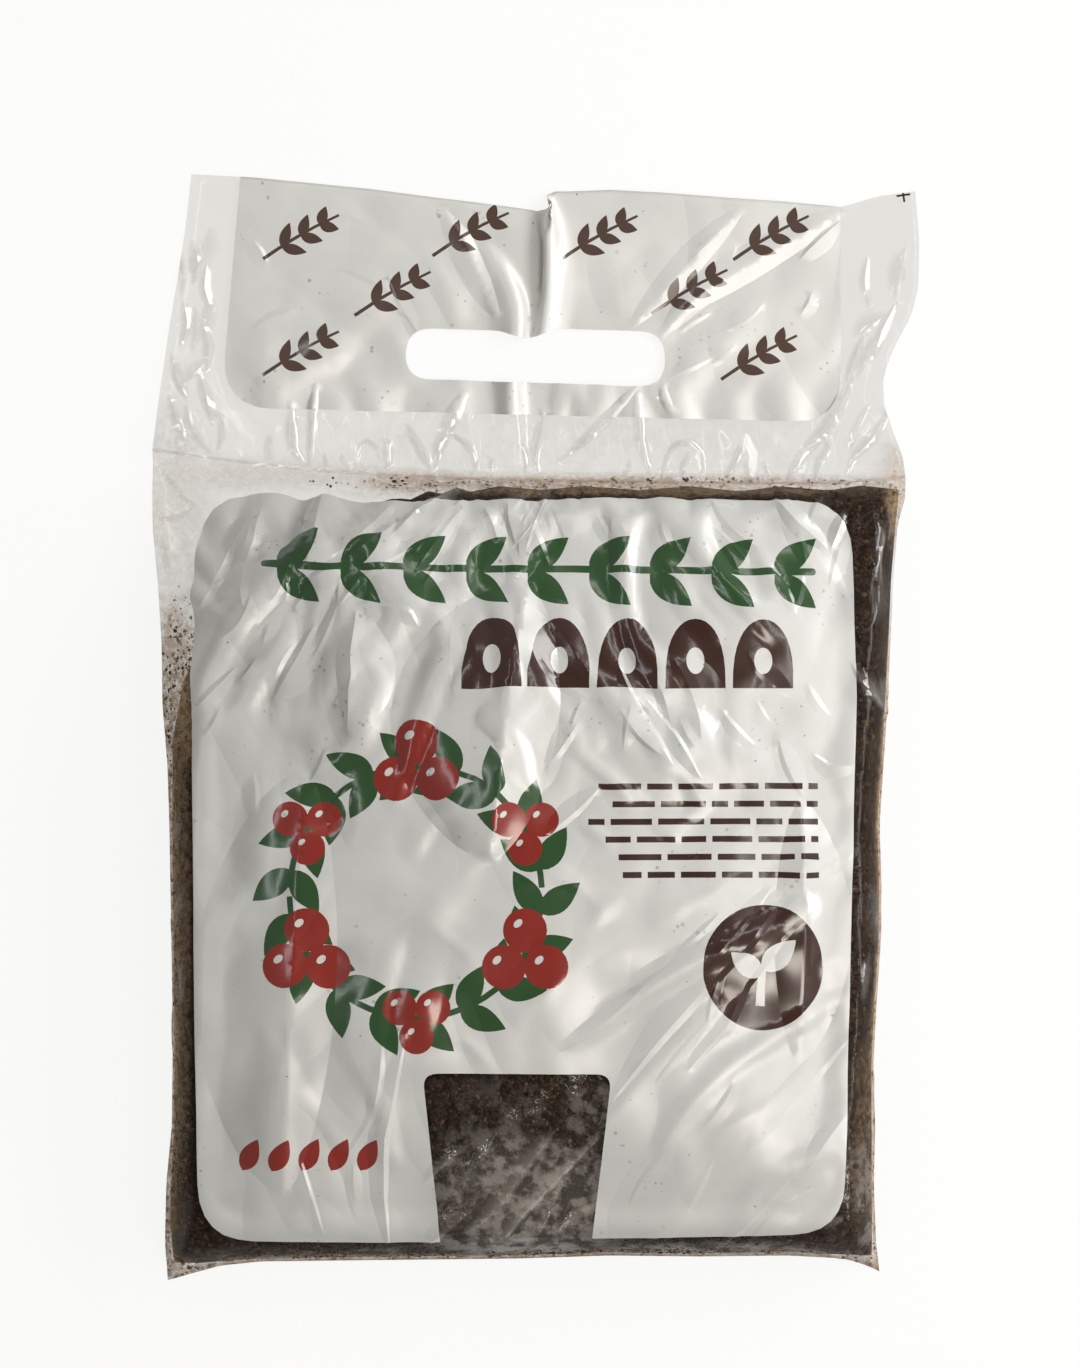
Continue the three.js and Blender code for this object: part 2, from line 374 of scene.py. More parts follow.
CREASES = (
    Crease([(249, 330), (268, 317), (296, 307)], 0.4, 2.0, 4.0),
    Crease([(850, 206), (770, 250), (700, 292), (660, 335)], 1.4, 5.0, 6.0, True),
    Crease([(745, 205), (700, 250), (655, 300), (630, 326)], 1.1, 4.0, 5.0, True),
    Crease([(440, 205), (462, 236), (478, 270), (500, 318)], 1.1, 3.0, 6.0, True),
    Crease([(190, 236), (197, 260), (192, 285)], 1.0, 1.8, 2.4),
    Crease([(206, 258), (203, 285), (211, 314)], 1.1, 2.0, 2.4),
    Crease([(182, 296), (187, 322), (180, 347)], 1.1, 2.0, 2.4),
    Crease([(200, 316), (207, 345), (204, 374)], 1.2, 2.2, 2.4),
    Crease([(171, 350), (178, 378), (189, 402)], 1.2, 2.2, 2.4),
    Crease([(196, 370), (206, 398), (213, 426)], 1.2, 2.2, 2.4),
    Crease([(168, 390), (174, 416), (185, 442)], 1.0, 1.8, 2.4),
    Crease([(870, 250), (866, 280), (872, 310)], 0.8, 1.5, 2.4),
    Crease([(898, 300), (884, 330), (872, 362)], 1.0, 1.8, 2.4),
    Crease([(866, 330), (858, 356), (846, 384)], 1.0, 1.8, 2.4),
    Crease([(408, 1028), (397, 1075), (386, 1133), (385, 1192), (390, 1242)], 0.9, 1.6, 5.0),
    Crease([(800, 872), (749, 937), (708, 981), (661, 1034), (610, 1098)], 0.8, 2.2, 7.0),
    Crease([(770, 884), (735, 930), (700, 968)], 0.5, 1.5, 4.0),
    Crease([(822, 880), (784, 928), (743, 981), (725, 1022), (684, 1069)], 0.7, 2.0, 6.0),
    Crease([(850, 850), (826, 880), (800, 915)], 0.5, 1.5, 4.0),
    Crease([(846, 1034), (802, 1084), (770, 1119), (742, 1150)], 0.4, 2.0, 6.0),
    Crease([(842, 1110), (820, 1140), (802, 1169)], 0.4, 1.5, 4.0),
    Crease([(793, 1166), (770, 1192), (743, 1219), (711, 1251)], 0.35, 1.5, 4.0),
    Crease([(772, 502), (797, 530), (826, 554)], 1.4, 4.0, 3.0),
    Crease([(826, 554), (834, 536), (843, 514)], 1.1, 3.0, 2.0),
    Crease([(642, 697), (673, 735), (699, 779)], 0.7, 1.2, 4.0),
    Crease([(617, 664), (635, 710), (673, 768)], 0.5, 1.5, 4.0),
    Crease([(711, 528), (728, 545), (745, 562)], 0.5, 1.2, 3.0),
    Crease([(722, 522), (740, 540), (758, 552)], 0.4, 1.2, 3.0),
    Crease([(808, 753), (826, 766), (854, 766)], 0.6, 1.2, 4.0),
    Crease([(464, 486), (428, 512), (390, 543)], 1.5, 6.0, 2.0),
    Crease([(318, 500), (307, 522), (329, 540), (357, 543)], 0.9, 4.0, 2.0),
    Crease([(484, 510), (494, 532), (502, 553)], 0.9, 4.0, 2.0),
    Crease([(507, 505), (511, 526), (517, 548)], 0.9, 5.0, 2.0),
    Crease([(356, 607), (385, 608), (411, 614), (420, 630)], 0.7, 1.5, 5.0),
    Crease([(358, 612), (354, 670), (352, 735)], 2.3, 13.0, 4.0),
    Crease([(526, 585), (510, 690), (490, 860)], 6.0, 16.0, 35.0, True),
    Crease([(798, 800), (802, 920), (796, 1060)], 2.0, 14.0, 9.0, True),
    Crease([(308, 770), (296, 980), (286, 1190)], 3.0, 13.0, 30.0, True),
    Crease([(195, 716), (217, 692), (242, 667)], 0.6, 1.5, 4.0),
    Crease([(283, 890), (272, 912), (262, 930)], 0.6, 3.0, 3.0),
    Crease([(312, 955), (306, 980), (301, 1005)], 0.6, 3.0, 3.0),
    Crease([(600, 1130), (560, 1170), (520, 1212), (480, 1256)], 0.8, 1.4, 4.0),
    Crease([(560, 1120), (535, 1150), (500, 1200), (470, 1226)], 0.7, 1.6, 5.0),
)


@dataclass(frozen=True)
class Crinkle:
    """A patch of the film with many small creases that run about the same way."""

    x: float
    y: float
    rx: float
    ry: float
    angle: float  # of the creases, in degrees
    count: int
    length: tuple[float, float] = (26.0, 80.0)  # shortest and longest, in drawing units
    height: tuple[float, float] = (0.25, 0.75)  # in millimetres, as the flanks' widths are
    steep: tuple[float, float] = (1.0, 1.7)
    long: tuple[float, float] = (2.4, 5.0)

    SPREAD = 16.0  # of the creases' directions, in degrees

    def creases(self, rng: np.random.Generator) -> Iterable[Crease]:
        """The patch's creases, each a shallow bow."""
        t = np.linspace(-1, 1, 7)
        for _ in range(self.count):
            middle = (self.x + self.rx * rng.uniform(-1, 1), self.y + self.ry * rng.uniform(-1, 1))
            half = rng.uniform(*self.length) / 2
            bow = rng.uniform(-0.2, 0.2) * half
            turn = self.angle + self.SPREAD * rng.normal()
            flanks = rng.permutation([rng.uniform(*self.steep), rng.uniform(*self.long)])
            path = spin(np.stack([half * t, bow * (1 - t * t)], 1), turn, middle)
            yield Crease(path, rng.uniform(*self.height), *flanks)


CRINKLES = (
    Crinkle(300, 610, 80, 80, 62, 9, (60.0, 150.0), (0.7, 1.5), (2.0, 4.0), (7.0, 12.0)),
    Crinkle(300, 590, 85, 75, 58, 14),
    Crinkle(290, 740, 80, 70, 70, 6),
    Crinkle(460, 540, 90, 30, 62, 10),
    Crinkle(640, 535, 110, 28, 110, 9, height=(0.2, 0.5)),
    Crinkle(790, 560, 50, 50, 80, 5, height=(0.2, 0.5)),
    Crinkle(720, 720, 110, 50, 128, 9, height=(0.2, 0.6)),
    Crinkle(600, 620, 150, 90, 112, 7, (60.0, 140.0), (0.4, 0.8), (2.0, 4.0), (7.0, 12.0)),
    Crinkle(560, 760, 70, 60, 65, 5),
    Crinkle(235, 960, 35, 180, 84, 4, (30.0, 90.0), (0.12, 0.3)),
    Crinkle(340, 1130, 60, 90, 86, 6, (30.0, 110.0), (0.12, 0.4)),
    Crinkle(690, 1000, 120, 100, 48, 9, (40.0, 130.0), (0.12, 0.4)),
    Crinkle(740, 1170, 90, 60, 46, 5, (40.0, 120.0), (0.1, 0.3)),
    Crinkle(520, 1190, 80, 40, 50, 6),
    Crinkle(330, 270, 80, 80, 130, 5),
    Crinkle(720, 290, 100, 80, 38, 8),
    Crinkle(190, 330, 20, 110, 75, 7, (20.0, 60.0)),
    Crinkle(885, 320, 22, 90, 70, 6, (20.0, 60.0)),
    Crinkle(870, 800, 10, 260, 88, 8),
    Crinkle(180, 1000, 8, 220, 90, 5),
)


SEAL_FOLDS = tuple(Crease(*fold, soft=True) for fold in (
    ([(184, 400), (189, 424), (200, 442), (212, 455)], 1.0, 1.5, 2.2),
    ([(206, 404), (221, 418), (222, 435), (216, 455)], 1.1, 1.5, 2.0),
    ([(291, 398), (291, 424), (294, 449), (307, 467)], 1.2, 1.8, 3.0),
    ([(316, 380), (313, 405), (311, 435), (308, 467)], 1.3, 1.7, 2.4),
    ([(270, 432), (267, 445), (268, 461)], 0.8, 2.2, 2.0),
    ([(324, 450), (325, 459), (324, 467)], 0.7, 1.2, 1.2),
    ([(340, 450), (341, 459), (342, 467)], 0.6, 1.2, 1.2),
    ([(355, 460), (357, 446), (367, 438), (376, 445), (380, 462)], 0.7, 1.2, 1.2),
    ([(386, 436), (385, 452), (388, 470)], 1.0, 2.4, 1.6),
    ([(466, 388), (447, 428), (438, 450), (433, 470)], 1.3, 2.4, 3.4),
    ([(405, 420), (421, 447), (431, 470)], 1.0, 1.8, 2.6),
    ([(448, 430), (464, 440), (474, 452), (474, 472)], 1.0, 1.6, 1.6),
    ([(492, 455), (490, 464), (491, 473)], 0.7, 1.2, 1.2),
    ([(520, 440), (526, 456), (524, 474)], 0.8, 1.4, 1.6),
    ([(545, 405), (541, 430), (536, 452), (540, 475)], 1.0, 1.5, 2.6),
    ([(640, 384), (612, 415), (588, 439), (556, 462)], 1.1, 1.5, 3.0),
    ([(631, 456), (628, 470), (620, 480)], 0.7, 1.2, 1.3),
    ([(638, 390), (642, 439), (652, 480)], 0.9, 1.6, 2.6),
    ([(660, 482), (668, 454), (676, 442), (692, 441), (703, 451), (704, 468), (697, 480)], 0.9, 1.4, 1.4),
    ([(691, 449), (683, 467), (687, 481)], 0.8, 1.3, 1.3),
    ([(745, 434), (737, 460), (724, 482)], 1.0, 1.5, 1.8),
    ([(745, 456), (748, 468), (752, 482)], 0.7, 1.2, 1.2),
    ([(764, 458), (768, 470), (773, 482)], 0.7, 1.2, 1.2),
    ([(856, 372), (838, 411), (826, 430), (805, 452), (786, 481)], 1.4, 2.4, 3.0),
    ([(826, 428), (830, 446), (820, 460), (815, 482)], 1.0, 1.6, 1.6),
    ([(892, 408), (874, 437), (857, 454), (846, 474)], 1.2, 2.0, 2.6),
    ([(870, 400), (856, 430), (850, 452)], 0.7, 1.3, 2.0),
    ([(662, 380), (666, 396), (675, 414)], 0.8, 1.3, 2.0),
    ([(178, 250), (182, 276), (180, 300)], 0.7, 1.2, 1.6),
    ([(908, 240), (900, 270), (896, 300)], 0.7, 1.3, 1.8),
    ([(880, 330), (866, 356), (858, 380)], 0.9, 1.5, 2.2),
    ([(900, 350), (890, 372), (888, 396)], 0.8, 1.4, 1.8),
    ([(160, 470), (186, 500), (206, 506)], 0.7, 1.3, 1.8),
    ([(158, 520), (180, 516), (198, 502)], 0.8, 1.3, 2.0),
    ([(160, 534), (166, 552), (168, 580)], 0.6, 1.2, 1.6),
    ([(872, 520), (878, 540), (874, 562), (876, 590)], 0.8, 1.2, 1.6),
    ([(882, 514), (886, 530), (884, 548)], 0.6, 1.0, 1.2),
))


def small_creases() -> list[Crease]:
    """The creases of every crinkled patch."""
    rng = np.random.default_rng(17)
    return [crease for patch in CRINKLES for crease in patch.creases(rng)]


@dataclass(frozen=True)
class Crumple:
    """A patch of small sharp-edged facets, drawn out in one direction."""

    x: float
    y: float
    reach: float
    angle: float  # in degrees
    height: float
    width: float  # of one facet, in millimetres
    seed: int

    STRETCH = 2.6
    EDGE = 0.08  # rounds the facets' edges

    def lift(self, x: np.ndarray, y: np.ndarray) -> np.ndarray:
        """How far the film rises at places in the plane."""
        cx, cy = plan([(self.x, self.y)])[0]
        near = np.exp(-(((x - cx) ** 2 + (y - cy) ** 2) / (self.reach * UNIT) ** 2))
        x, y = x + 3 * soft_noise(x, y, 24, 66), y + 3 * soft_noise(x, y, 24, 67)
        c, s = math.cos(math.radians(self.angle)), math.sin(math.radians(self.angle))
        along, across = (x * c + y * s) / self.STRETCH, y * c - x * s
        return near * self.height * np.hypot(soft_noise(along, across, self.width, self.seed), self.EDGE)


CRUMPLES = (
    Crumple(300, 630, 190, 68, 2.2, 16, 61),
    Crumple(300, 590, 170, 55, 0.9, 8, 62),
    Crumple(560, 560, 210, 98, 1.1, 13, 63),
    Crumple(620, 540, 220, 80, 0.4, 7, 64),
    Crumple(700, 690, 170, 118, 1.0, 14, 65),
    Crumple(820, 640, 130, 75, 0.7, 12, 74),
    Crumple(270, 960, 210, 80, 1.3, 14, 68),
    Crumple(520, 930, 160, 65, 0.8, 16, 75),
    Crumple(720, 1080, 220, 47, 0.5, 19, 69),
    Crumple(320, 1180, 150, 80, 0.8, 13, 71),
    Crumple(260, 425, 110, 80, 0.5, 10, 76),
    Crumple(430, 440, 110, 95, 0.5, 10, 77),
    Crumple(600, 445, 110, 88, 0.5, 10, 78),
    Crumple(780, 440, 120, 70, 0.6, 10, 79),
    Crumple(190, 330, 90, 70, 0.8, 10, 80),
    Crumple(880, 330, 90, 60, 0.8, 11, 81),
    Crumple(700, 290, 230, 35, 0.7, 15, 72),
    Crumple(330, 290, 200, -40, 0.5, 15, 73),
)


@dataclass
class FilmSolver:
    """The front ply as a net of film that settles over the heap and folds where it is slack."""

    heap: CompostHeap
    step: float = 3.4  # first spacing of the net; it is halved once
    width: float = 230.0
    body_length: float = 250.0
    header_length: float = 92.0
    clearance: float = 0.25
    floor: float = 0.4
    slack: float = 0.007  # everywhere on the body
    header_slack: float = 0.002
    seal_slack: tuple[float, float] = (0.012, 0.1)  # below and above the seal
    seal_reach: tuple[float, float] = (8.0, 12.0)

    def __post_init__(self) -> None:
        self.columns = round(self.width / self.step)
        self.body_rows = round(self.body_length / self.step)
        self.header_rows = round(self.header_length / self.step)
        self.plane = Outline.film(self.columns, self.body_rows, self.header_rows)
        self._pin()
        self._lay()
        self._measure()

    def _pin(self) -> None:
        """The folds, the foot and the seal stay in place; the rest of the net is free."""
        held = np.zeros(self.plane.shape[:2], bool)
        held[: self.body_rows + 1, [0, -1]] = True
        held[[0, self.body_rows]] = True
        self.held = held
        self.free = np.where(held, 0.0, 1.0)[..., None]

    def _lay(self) -> None:
        """Spreads the net smoothly over the heap, from border to border."""
        x, y = self.plane[..., 0], self.plane[..., 1]
        rows = np.arange(len(x))[:, None]
        ground = np.where(rows <= self.body_rows, self.heap.sample(self.heap.heights, x, y) + 0.3, 0.5)
        ground = np.maximum(ground, 0.5)
        border = self.heap.fold_height * self.heap.fullness(y)
        border[0] = 1.5
        border[0, [0, -1]] = 0.8
        across = np.linspace(0, 1, x.shape[1])
        border[self.body_rows] = 3.0 + 1.2 * np.sin(9 * across + 1)
        z = np.where(self.held, border, ground)
        for _ in range(400):
            level = z.copy()
            level[1:-1, 1:-1] = (z[:-2, 1:-1] + z[2:, 1:-1] + z[1:-1, :-2] + z[1:-1, 2:]) / 4
            level[self.body_rows + 1 :, 0] = level[self.body_rows + 1 :, 1]
            level[self.body_rows + 1 :, -1] = level[self.body_rows + 1 :, -2]
            level[-1] = level[-2]
            z = np.where(self.held, border, np.maximum(level, ground))
        self.points = np.concatenate([self.plane, z[..., None]], -1)

    def _measure(self) -> None:
        """Sets each link's own length, and starts the folds."""
        x, y = self.plane[..., 0], self.plane[..., 1]
        header = np.arange(len(x))[:, None] > self.body_rows
        even = np.where(header, self.header_slack, self.slack)
        xx, yy, xy = even.copy(), even.copy(), np.zeros_like(x)
        start = np.where(header, 0.15, 0.4) * soft_noise(x + 0.6 * y, 0.5 * y - 0.3 * x, 9, 31)
        start += np.where(header, 0.1, 0.25) * soft_noise(x, y, 6, 32)
        for i, patch in enumerate(SLACK):
            k = patch.weight(x, y) * patch.excess
            c, s = math.cos(math.radians(patch.angle)), math.sin(math.radians(patch.angle))
            xx, yy, xy = xx + k * s * s, yy + k * c * c, xy - k * s * c
            a, b = patch.frame(x, y)
            streaks = soft_noise(a / 4, b + 2 * soft_noise(x, y, 25, 90 + i), patch.wave / 2, 40 + i)
            start += 0.9 * patch.weight(x, y) * streaks
        above = y - y[self.body_rows]
        near = np.exp(-np.abs(above) / np.where(above > 0, self.seal_reach[1], self.seal_reach[0]))
        uneven = 0.55 + 0.75 * soft_noise(x, 0 * y, 21, 78)
        xx += np.where(above > 0, self.seal_slack[1], self.seal_slack[0]) * near * np.maximum(uneven, 0.1)
        start += 0.8 * near * soft_noise(x, 0.15 * y, 6.5, 77) * np.clip(np.abs(above) / 4, 0, 1)
        p = self.points
        flat = self.width / self.columns

        def mean(values: np.ndarray, axis: int) -> np.ndarray:
            values = np.moveaxis(values, axis, 0)
            return np.moveaxis((values[1:] + values[:-1]) / 2, 0, axis)

        self.across = np.linalg.norm(np.diff(p, axis=1), axis=-1) * (1 + mean(xx, 1))
        head = slice(self.body_rows + 1, None)
        share = (np.arange(x.shape[1] - 1) + 0.5) / (x.shape[1] - 1)
        pleat = (share > Outline.PLEAT_SHARE[0]) & (share < Outline.PLEAT_SHARE[1])
        self.across[head] += np.where(pleat, 1.0, 0.2) * np.maximum(0, flat - self.across[head])
        self.along = np.linalg.norm(np.diff(p, axis=0), axis=-1) * (1 + mean(yy, 0))
        wide, long = mean(self.across, 0), mean(self.along, 1)
        right = mean(np.diff(p, axis=1), 0)
        up = mean(np.diff(p, axis=0), 1)
        lengths = np.linalg.norm(right, axis=-1) * np.linalg.norm(up, axis=-1) + 1e-9
        lean = (right * up).sum(-1) / lengths + 2 * mean(mean(xy, 0), 1)
        self.rising = np.sqrt(wide**2 + long**2 + 2 * wide * long * lean)
        self.falling = np.sqrt(wide**2 + long**2 - 2 * wide * long * lean)
        grain = np.random.default_rng(5).uniform(0, 0.05, x.shape)
        self.points[..., 2] += np.where(self.held, 0, np.abs(start) + grain)

    @staticmethod
    def _pull(a: np.ndarray, b: np.ndarray, free_a: np.ndarray, free_b: np.ndarray, rest: np.ndarray,
              share: float) -> None:
        """Moves the two ends of each link towards its own length."""
        apart = b - a
        length = np.sqrt((apart * apart).sum(-1, keepdims=True)) + 1e-9
        moves = apart * (share * (length - rest[..., None]) / (length * np.maximum(free_a + free_b, 1e-9)))
        a += free_a * moves
        b -= free_b * moves

    @staticmethod
    def _bend(line: np.ndarray, free: np.ndarray, stiffness: float) -> None:
        """Straightens every third run of three nodes down the first axis."""
        count = len(line) // 3 * 3
        a, b, c = (line[i:count:3] for i in range(3))
        turn = (a - 2 * b + c) * (stiffness / 6)
        a -= free[0:count:3] * turn
        b += 2 * free[1:count:3] * turn
        c -= free[2:count:3] * turn

    def settle(self, rounds: int, stiffness: float, weight: float, anchor: float) -> None:
        """Lets the net settle.

        Args:
            rounds: how often every link is pulled.
            stiffness: the film's resistance to bending.
            weight: fall per round, in millimetres.
            anchor: share by which the header is drawn back to its outline in each round.
        """
        p, w = self.points, self.free
        for turn in range(rounds):
            p[..., 2] -= weight * w[..., 0]
            for odd in (0, 1):
                last = odd + (p.shape[1] - odd) // 2 * 2
                a, b = np.s_[:, odd:last:2], np.s_[:, odd + 1 : last : 2]
                self._pull(p[a], p[b], w[a], w[b], self.across[a], 1.0)
                last = odd + (p.shape[0] - odd) // 2 * 2
                a, b = np.s_[odd:last:2], np.s_[odd + 1 : last : 2]
                self._pull(p[a], p[b], w[a], w[b], self.along[a], 1.0)
                self._pull(p[a][:, :-1], p[b][:, 1:], w[a][:, :-1], w[b][:, 1:], self.rising[a], 0.6)
                self._pull(p[a][:, 1:], p[b][:, :-1], w[a][:, 1:], w[b][:, :-1], self.falling[a], 0.6)
            for first in range(3):
                self._bend(p[first:], w[first:], stiffness)
                self._bend(p.swapaxes(0, 1)[first:], w.swapaxes(0, 1)[first:], stiffness)
            header = np.s_[self.body_rows + 1 :, :, :2]
            p[header] += anchor * (self.plane[self.body_rows + 1 :] - p[header])
            if turn % 2 == 0:
                self._touch()

    def _touch(self) -> None:
        """Pushes the net out of the heap and off the floor."""
        body = self.points[: self.body_rows + 1]
        x, y = body[..., 0], body[..., 1]
        heap = self.heap
        low = heap.sample(heap.heights, x, y) + self.clearance - body[..., 2]
        sx, sy = heap.sample(heap.slope_x, x, y), heap.sample(heap.slope_y, x, y)
        push = np.maximum(0, low) * self.free[: self.body_rows + 1, :, 0] / (1 + sx * sx + sy * sy)
        body += np.stack([-push * sx, -push * sy, push], -1)
        np.maximum(self.points[..., 2], self.floor, out=self.points[..., 2])

    def refine(self) -> None:
        """Halves the net's spacing."""

        def between(values: np.ndarray, axis: int) -> np.ndarray:
            values = np.moveaxis(values, axis, 0)
            made = np.empty((2 * len(values) - 1, *values.shape[1:]))
            padded = np.concatenate([2 * values[:1] - values[1:2], values, 2 * values[-1:] - values[-2:-1]])
            made[::2] = values
            made[1::2] = (9 * (padded[1:-2] + padded[2:-1]) - padded[:-3] - padded[3:]) / 16
            return np.moveaxis(made, 0, axis)

        self.points = between(between(self.points, 0), 1)
        self.plane = between(between(self.plane, 0), 1)
        self.across = between(np.repeat(self.across, 2, 1) / 2, 0)
        self.along = between(np.repeat(self.along, 2, 0) / 2, 1)
        self.rising = np.repeat(np.repeat(self.rising, 2, 0), 2, 1) / 2
        self.falling = np.repeat(np.repeat(self.falling, 2, 0), 2, 1) / 2
        self.columns, self.body_rows, self.header_rows = 2 * self.columns, 2 * self.body_rows, 2 * self.header_rows
        self.step /= 2
        self._pin()

    def run(self) -> None:
        """Settles the net, halves its spacing and settles it again."""
        self.settle(300, stiffness=0.04, weight=0.002, anchor=0.02)
        self.refine()
        self.settle(300, stiffness=0.016, weight=0.001, anchor=0.01)

    def normals(self) -> np.ndarray:
        """The net's outward direction at each node."""
        n = np.cross(np.gradient(self.points, axis=1), np.gradient(self.points, axis=0))
        return n / np.linalg.norm(n, axis=-1, keepdims=True)

    def locate(self, places: np.ndarray) -> tuple[np.ndarray, np.ndarray]:
        """Rows and columns of the net that lie over places in the drawing's plane before it folds."""
        rows, columns = self.plane.shape[0] - 1, self.plane.shape[1] - 1
        low, high = self.plane[..., 1].mean(1)[[0, -1]]
        r = (places[:, 1] - low) / (high - low) * rows
        c = (places[:, 0] / self.width + 0.5) * columns
        for _ in range(25):
            r, c = np.clip(r, 0, rows), np.clip(c, 0, columns)
            here = cubic(self.plane, r, c)
            dr = cubic(self.plane, np.minimum(r + 0.25, rows), c) - cubic(self.plane, np.maximum(r - 0.25, 0), c)
            dc = cubic(self.plane, r, np.minimum(c + 0.25, columns)) - cubic(self.plane, r, np.maximum(c - 0.25, 0))
            dr /= (np.minimum(r + 0.25, rows) - np.maximum(r - 0.25, 0))[:, None]
            dc /= (np.minimum(c + 0.25, columns) - np.maximum(c - 0.25, 0))[:, None]
            det = dr[:, 0] * dc[:, 1] - dr[:, 1] * dc[:, 0]
            miss = places - here
            r = r + np.clip((miss[:, 0] * dc[:, 1] - miss[:, 1] * dc[:, 0]) / det, -6, 6)
            c = c + np.clip((dr[:, 0] * miss[:, 1] - dr[:, 1] * miss[:, 0]) / det, -6, 6)
        return np.clip(r, 0, rows), np.clip(c, 0, columns)


@dataclass(frozen=True)
class Bloom:
    """A soft oval on the film, in the outline drawing, where it is more clouded, dustier, or painted lighter over a
    shadow.
    """

    x: float
    y: float
    rx: float
    ry: float
    amount: float

    def at(self, drawn: np.ndarray) -> np.ndarray:
        """The amount at drawing places."""
        near = ((drawn[:, 0] - self.x) / self.rx) ** 2 + ((drawn[:, 1] - self.y) / self.ry) ** 2
        return self.amount * np.exp(-(near**2))


def bloom(blooms: Sequence[Bloom], places: np.ndarray) -> np.ndarray:
    """The strongest of some blooms at places in the plane."""
    drawn = places / (UNIT, -UNIT) + DRAWING_CENTRE
    return np.clip(np.maximum.reduce([b.at(drawn) for b in blooms]), 0, 1)


CLOUDED = (
    Bloom(520, 1195, 100, 70, 1.1),
    Bloom(590, 1120, 30, 50, 0.5),
    Bloom(868, 1000, 24, 260, 0.02),
    Bloom(856, 1200, 40, 60, 0.45),
    Bloom(872, 640, 16, 80, 0.04),
    Bloom(430, 1256, 260, 14, 0.33),
    Bloom(720, 1250, 130, 12, 0.65),
    Bloom(182, 1100, 20, 140, 0.04),
    Bloom(560, 440, 330, 38, 0.1),
    Bloom(515, 1110, 90, 40, 0.22),
)
# Dust on the film; the oval at x 183 is painted light in the dust's colour, which lifts the white panel's shadow on
# the compost beside it.
DUST_AND_PAINTED_LIGHT = (
    Bloom(660, 482, 270, 7, 0.8),
    Bloom(640, 493, 260, 8, 0.42),
    Bloom(420, 481, 66, 9, 0.65),
    Bloom(896, 500, 14, 50, 0.5),
    Bloom(170, 540, 46, 130, 0.15),
    Bloom(260, 474, 130, 14, 0.2),
    Bloom(176, 690, 30, 90, 0.75),
    Bloom(862, 1130, 22, 110, 0.19),
    # Painted light: lightens the compost in the shadow of the panel's left edge.
    Bloom(183, 930, 14, 330, 0.36),
    Bloom(176, 1268, 34, 14, 0.4),
    Bloom(872, 1264, 16, 10, 0.5),
)


class Ink(Enum):
    """What covers a part of the film; the values are material places."""

    CLEAR = 0
    WELD = 1
    WHITE = 2
    GREEN = 3
    BROWN = 4
    RED = 5
    FADED = 6
    PALE = 7


@dataclass(frozen=True)
class Field:
    """A closed field of one ink, in the outline drawing."""

    ink: Ink
    loop: np.ndarray  # drawing places


def spin(points: np.ndarray, degrees: float, centre: tuple[float, float]) -> np.ndarray:
    """Drawing places turned counter-clockwise about the origin and moved to centre."""
    c, s = math.cos(math.radians(degrees)), math.sin(math.radians(degrees))
    x, y = points[:, 0], points[:, 1]
    return np.stack([centre[0] + x * c - y * s, centre[1] - x * s - y * c], 1)


def oval(centre: tuple[float, float], rx: float, ry: float, turn: float = 0, count: int = 28) -> np.ndarray:
    """An ellipse."""
    t = np.linspace(0, 2 * math.pi, count, endpoint=False)
    return spin(np.stack([rx * np.cos(t), ry * np.sin(t)], 1), turn, centre)


def leaf(base: tuple[float, float], length: float, width: float, turn: float, count: int = 11) -> np.ndarray:
    """A pointed leaf that starts at base and runs along turn."""
    t = np.linspace(0, 1, count)
    half = width / 2 * np.sin(math.pi * t**0.8) ** 0.9
    upper = np.stack([t * length, half], 1)
    lower = np.stack([t * length, -half], 1)[::-1][1:-1]
    return spin(np.concatenate([upper, lower]), turn, base)


def bar(left: float, top: float, right: float, bottom: float) -> np.ndarray:
    """An upright rectangle."""
    return np.array([(left, top), (right, top), (right, bottom), (left, bottom)], float)


def rounded(corners: Points, radii: Sequence[float], steps: int = 7) -> np.ndarray:
    """A polygon with round corners."""
    made = []
    places = [np.asarray(c, float) for c in corners]
    for i, (corner, radius) in enumerate(zip(places, radii)):
        before, after = places[i - 1] - corner, places[(i + 1) % len(places)] - corner
        before, after = before / np.linalg.norm(before), after / np.linalg.norm(after)
        if radius <= 0:
            made.append(corner)
            continue
        half = math.acos(float(np.clip(before @ after, -1, 1))) / 2
        reach = radius / math.tan(half)
        for t in np.linspace(0, 1, steps):
            start, end = corner + before * reach, corner + after * reach
            made.append((1 - t) ** 2 * start + 2 * t * (1 - t) * corner + t**2 * end)
    return np.array(made)


def ribbon(path: np.ndarray, widths: np.ndarray) -> np.ndarray:
    """A stroke along a path, with a width at each of its points."""
    ahead = np.gradient(path, axis=0)
    ahead /= np.linalg.norm(ahead, axis=1, keepdims=True)
    side = np.stack([-ahead[:, 1], ahead[:, 0]], 1) * widths[:, None] / 2
    return np.concatenate([path + side, (path - side)[::-1]])


